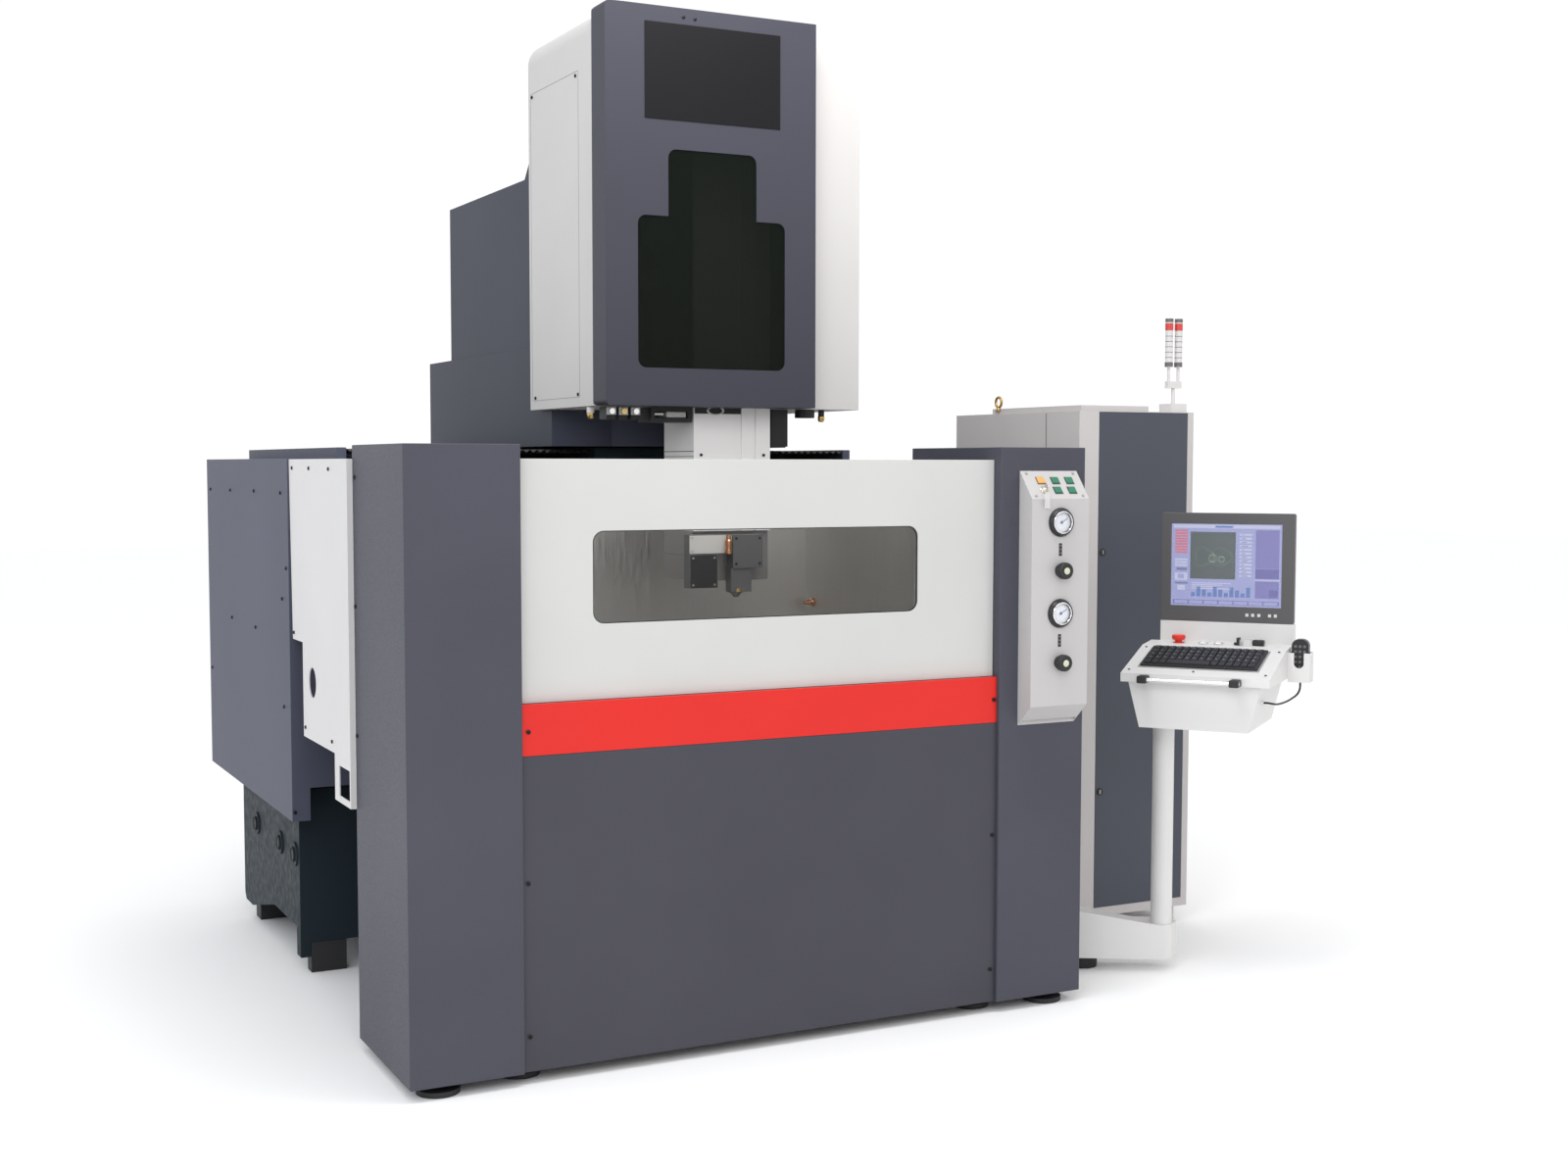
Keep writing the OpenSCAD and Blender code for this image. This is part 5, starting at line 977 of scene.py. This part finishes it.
def on_screen(name, u0, z0, u1, z1, tone, layer=1):
    """Part of the picture on the screen, given in shares of its width and height."""
    face = SCREEN_FACE - LAYER * layer
    low = (SCREEN_LEFT + SCREEN_WIDTH * u0, face - 0.2, SCREEN_LOW + SCREEN_HEIGHT * z0)
    high = (SCREEN_LEFT + SCREEN_WIDTH * u1, face + 0.05, SCREEN_LOW + SCREEN_HEIGHT * z1)
    return console_block("screen_" + name, low, high, "monitor", screen[tone], 0)


on_screen("ground", 0.0, 0.0, 1.0, 1.0, "ground", 0)
on_screen("title", 0.02, 0.945, 0.98, 0.985, "pale")
on_screen("title_word", 0.40, 0.952, 0.56, 0.975, "blue", 2)
on_screen("plot", 0.175, 0.33, 0.585, 0.90, "plot")
for k in range(9):
    on_screen("red_key", 0.035, 0.90 - 0.033 * k, 0.15, 0.925 - 0.033 * k, "red")
for k in range(3):
    on_screen("state_key", 0.035, 0.55 - 0.035 * k, 0.15, 0.573 - 0.035 * k, "pale")
on_screen("state_dark", 0.05, 0.43, 0.145, 0.46, "dark")
on_screen("state_box", 0.035, 0.31, 0.15, 0.40, "pale")
on_screen("state_box_in", 0.065, 0.33, 0.12, 0.385, "ground", 2)
on_screen("state_row", 0.035, 0.265, 0.155, 0.285, "dark")
on_screen("state_box_low", 0.06, 0.19, 0.13, 0.25, "pale")
for k in range(12):
    on_screen("number_row", 0.62, 0.86 - 0.045 * k, 0.73, 0.882 - 0.045 * k, "pale")
    on_screen("number_mark", 0.64, 0.866 - 0.045 * k, 0.66 + 0.012 * (k % 4), 0.874 - 0.045 * k, "dark", 2)
on_screen("side_top", 0.765, 0.47, 0.975, 0.93, "purple")
on_screen("side_mid", 0.765, 0.345, 0.975, 0.465, "violet")
on_screen("side_rule", 0.755, 0.325, 0.985, 0.335, "pale", 2)
on_screen("side_low", 0.765, 0.11, 0.975, 0.315, "purple")
on_screen("side_low_key", 0.89, 0.13, 0.965, 0.21, "violet", 2)
for k in range(11):
    on_screen("icon", 0.185 + 0.05 * k, 0.115, 0.222 + 0.05 * k, 0.115 + 0.05 + 0.035 * ((k * 5) % 3),
              "blue")
for k in range(4):
    on_screen("text_row", 0.19, 0.275 - 0.022 * k, 0.55 - 0.08 * (k % 3), 0.285 - 0.022 * k, "pale")
on_screen("bottom_row", 0.02, 0.02, 0.98, 0.075, "purple")
for k in range(7):
    on_screen("bottom_key", 0.035 + 0.135 * k, 0.028, 0.155 + 0.135 * k, 0.066, "ground", 2)
curve_marks = []
DOTS = 48
for cu, cz, ru, rz, lobes in ((0.30, 0.60, 0.085, 0.11, 3), (0.46, 0.60, 0.085, 0.11, 3),
                              (0.38, 0.58, 0.03, 0.05, 2), (0.46, 0.57, 0.022, 0.04, 2)):
    for k in range(DOTS):
        a = 2 * math.pi * k / DOTS
        r = 1 + 0.12 * math.cos(lobes * a)
        u, z = cu + ru * r * math.cos(a), cz + rz * r * math.sin(a)
        curve_marks.append(on_screen("curve_mark", u - 0.0022, z - 0.003, u + 0.0022, z + 0.003, "line", 2))
owned(joined(curve_marks, "screen_curves"), "monitor")
screen_glass = see_through("screen_glass", (0.5, 0.5, 0.55), 0.05, 0.12)
console_block("screen_glass", (SCREEN_LEFT, 200.6, SCREEN_LOW),
              (SCREEN_LEFT + SCREEN_WIDTH, 201.6, SCREEN_LOW + SCREEN_HEIGHT), "monitor", screen_glass,
              0.0002)
key_pale = finish_of("monitor_key_pale", (0.62, 0.62, 0.60), 0.4)
for u in (196, 213, 231, 262, 279):
    console_block("monitor_key", (u - 4.5, 199.2, 1004.5), (u + 4.5, 200.4, 1013.5), "monitor", key_pale,
                  0.0008)
flat_disc("monitor_led", 1.6, 0.8, "monitor", lamp_grey, console_front(246, 200, 1009))
for k in range(14):
    console_block("monitor_vent", (40 + 16 * k, 249.6, 1150), (48 + 16 * k, 250.6, 1230), "monitor",
                  seam_dark, 0.0002)
key_black = finish_of("keyboard_black", (0.022, 0.022, 0.024), 0.48, depth=3e-5)
dressed("keyboard", key_black, edge=0.0009)
deck_frame = finish_of("keyboard_surround", (0.30, 0.30, 0.30), 0.45, depth=2e-5)
LIP_FRONT = -160
LIP_TOP = 860.3
DECK = math.atan2(59, 250)
legend = finish_of("key_legend_white", (0.45, 0.45, 0.44), 0.6)


def on_deck(u, along, out):
    """Placing on the sloping deck, from the tray's front lip along the slope."""
    return (console_top(0, LIP_FRONT, LIP_TOP) @ Matrix.Rotation(DECK, 4, "X")
            @ Matrix.Translation((u / 1000, along / 1000, out / 1000)))


KEYS_LEFT = -40
KEYS_FRONT = 70
KEY_COLUMNS = 15
KEY_ROWS = 5
KEY_PITCH = 317 / KEY_COLUMNS
ROW_PITCH = 154 / KEY_ROWS
marks = []
for row in range(1, KEY_ROWS):
    for column in range(KEY_COLUMNS):
        u = KEYS_LEFT + KEY_PITCH * (column + 0.32)
        along = KEYS_FRONT + ROW_PITCH * (row + 0.62)
        wide = 2.0 + (column * 3 + row * 5) % 3
        marks.append(block_of("key_legend", (0, 0, 0), (wide, 3.2, 0.12), "keyboard", legend, 0,
                              on_deck(u, along, 12.0)))
owned(joined(marks, "key_legends"), "keyboard")
for name, u0, a0, u1, a1 in (("front", -54, 55, 291, 61), ("back", -54, 233, 291, 239),
                             ("left", -54, 61, -49, 233), ("right", 286, 61, 291, 233)):
    block_of("keyboard_surround_" + name, (u0, a0, 0), (u1, a1, 1.6), "console_housing", deck_frame,
             placing=on_deck(0, 0, 0.1))
for u, along in ((-72, 30), (-72, 236), (112, 34), (315, 30), (315, 236)):
    flat_disc("deck_screw", 3.4, 1.6, "console_housing", dark_screw, on_deck(u, along, 0.2))
polished = finish_of("polished_steel_bar", (0.80, 0.80, 0.80), 0.14, metal=1.0, grain=2500)
dressed("handle_bar", polished, edge=0.0006)
for u in (-18, 241):
    console_block("handle_end_cap", (u - 14, -205.5, 836.5), (u + 14, -160.5, 857.5), "handle_bar",
                  knob_black, 0.004)
red_cap = finish_of("emergency_stop_red", (0.70, 0.035, 0.022), 0.3)
dressed("emergency_stop", red_cap, edge=0.0006)
LEDGE_MIDDLE = 160
LEDGE_TOP = 922.8


def on_ledge(u):
    """Placing on the level ledge behind the keyboard, where the buttons sit in a row."""
    return console_top(u, LEDGE_MIDDLE, LEDGE_TOP)


collar("emergency_stop_collar", 11.6, 17, 1, 15.6, 2.1, "console_housing", red_cap, on_ledge(3))
milky = finish_of("milky_white_cap", (0.66, 0.655, 0.63), 0.25)
for node_name, u in (("start_button", 77), ("stop_button", 122)):
    dressed(node_name, milky, edge=0.0012, rounds=3)
    collar(node_name + "_collar", 12.6, 16, 2.2, 14.4, 4, "console_housing", chrome, on_ledge(u))
dressed("selector_knob", knob_black, edge=0.0008)
block_of("selector_mark", (-0.8, 2, 22.1), (0.8, 12.5, 22.5), "selector_knob", legend, 0.0001,
         on_ledge(181))
clear_ring = see_through("clear_ring_sheet", (0.75, 0.75, 0.75), 0.35, 0.08)
sleeve("clear_guard_ring", 21, 22, 0.2, 17, "console_housing", clear_ring, on_ledge(203))
console_block("usb_hood", (222, 148, 923.2), (256, 172, 940), "console_housing", knob_black, 0.004)
console_block("usb_hood_mouth", (228, 147.6, 927), (250, 148.4, 935), "console_housing", seam_dark, 0.0003)
dressed("handset", knob_black, edge=0.004, rounds=4)
for row in range(5):
    for column in (-1, 0, 1):
        place = console_front(363 + 13 * column, 135, 868 + 15 * row)
        flat_disc("handset_key", 4.2, 1.2, "handset", lamp_grey,
                  place @ Matrix.Translation((0, 0, -0.0002)))


# Small fittings: the tank's copper rinsing nozzle, the black and pale facings of the upper wire guide
# with their screws and nozzle parts, and the screws of the quill's cover plates.
copper = finish_of("copper_fitting", (0.62, 0.30, 0.16), 0.25, metal=1.0, depth=2e-5)
brass = finish_of("turned_brass", (0.68, 0.48, 0.18), 0.22, metal=1.0)
turned("tank_nozzle", [(0, 0), (13, 0), (13, 5), (9, 8), (9, 18), (6, 22), (6, 30), (3, 33), (0, 33)],
       "work_tank", copper, facing(1598, 1027, 1020, "-X"))
white_block = finish_of("white_ceramic_block", (0.60, 0.59, 0.56), 0.3, depth=2e-5)
guide_black = finish_of("guide_head_black", (0.022, 0.020, 0.020), 0.35, depth=3e-5)
block_of("guide_black_front", (984, 599.2, 1107), (1066, 600.6, 1199), "upper_guide", guide_black, 0.0006)
block_of("guide_white_front", (984, 605.2, 1203), (1114, 606.6, 1254), "upper_guide", white_block, 0.0006)
for name, radius, high, material, y, left, right, top, low in (
        ("guide_screw", 3.2, 1.6, steel_screw, 605.3, 992, 1106, 1248, 1210),
        ("guide_low_screw", 3.2, 1.6, steel_screw, 599.3, 992, 1058, 1191, 1115),
        ("guide_grey_screw", 3.6, 1.8, dark_screw, 600.1, 1126, 1200, 1244, 1172)):
    for x, z in ((left, top), (right, top), (left, low), (right, low)):
        flat_disc(name, radius, high, "upper_guide", material, facing(x, y, z))
stack = [(0, 0), (11, 0), (11, 10), (8, 12), (8, 22), (10, 24), (10, 36), (7, 40), (7, 52), (0, 52)]
turned("guide_copper_stack", stack, "upper_guide", copper, facing(1098, 592, 1202, "+Z"))
sleeve("guide_nozzle_ring", 24.1, 25.6, 16, 26, "upper_guide", brass, facing(1138, 628, 1076, "+Z"))
QUILL_FRONT = 650
for x, z in ((1237, 1480), (1237, 1640), (1040, 1480), (1040, 1640), (1237, 1330), (1040, 1330)):
    flat_disc("quill_screw", 4.2, 2.0, "quill", dark_screw, facing(x, QUILL_FRONT, z))


# Under the head: clear connectors with brass inserts, a pale block in the black hoop, a white ring on
# a black plate, and brass tips on the two flushing nozzles.
clear_part = see_through("clear_connector_body", (0.78, 0.78, 0.76), 0.72, 0.1)
for x in (762, 798, 834):
    block_of("clear_connector", (x - 1, 664, 1590), (x + 27, 669, 1611), "head_fittings", clear_part,
             0.0015)
    turned("connector_insert", [(0, 0), (6, 0), (6, 7), (8, 7), (8, 12), (0, 12)], "head_fittings",
           brass if x == 798 else chrome, facing(x + 13, 670, 1600))
left_nozzle = facing(726, 698, 1583, "+Z")
sleeve("left_nozzle_sleeve", 9.1, 10.6, 12, 28, "head_fittings", white_block, left_nozzle)
turned("left_nozzle_tip", [(9.1, 11), (9.8, 11), (9.8, 2), (7, -4), (0, -4)], "head_fittings", brass,
       left_nozzle)
turned("right_nozzle_tip", [(9.1, 12), (10, 12), (10, 3), (7, -3), (0, -3)], "head_fittings", brass,
       facing(1448, 694, 1581, "+Z"))
block_of("hoop_block", (936, 655, 1584), (996, 700, 1600), "head_fittings", white_block, 0.002)
block_of("hoop_pin", (899, 660, 1590), (930, 690, 1597), "head_fittings", steel_screw, 0.001)
block_of("ring_plate", (1020, 648.3, 1596), (1164, 649.8, 1612.6), "head_fittings", fitting_black, 0.001)
torus("white_wire_ring", 24, 3.5, 40, 12, "head_fittings", white_block,
      facing(1084, 648, 1605) @ Matrix.Scale(0.45, 4, (0, 1, 0)))
for name, low, high in (("quill_left_seam_high", 1489, 1491), ("quill_left_seam_low", 1475, 1476.4)):
    block_of(name, (1017.2, 652, low), (1017.6, 858, high), "quill", seam_dark, 0)
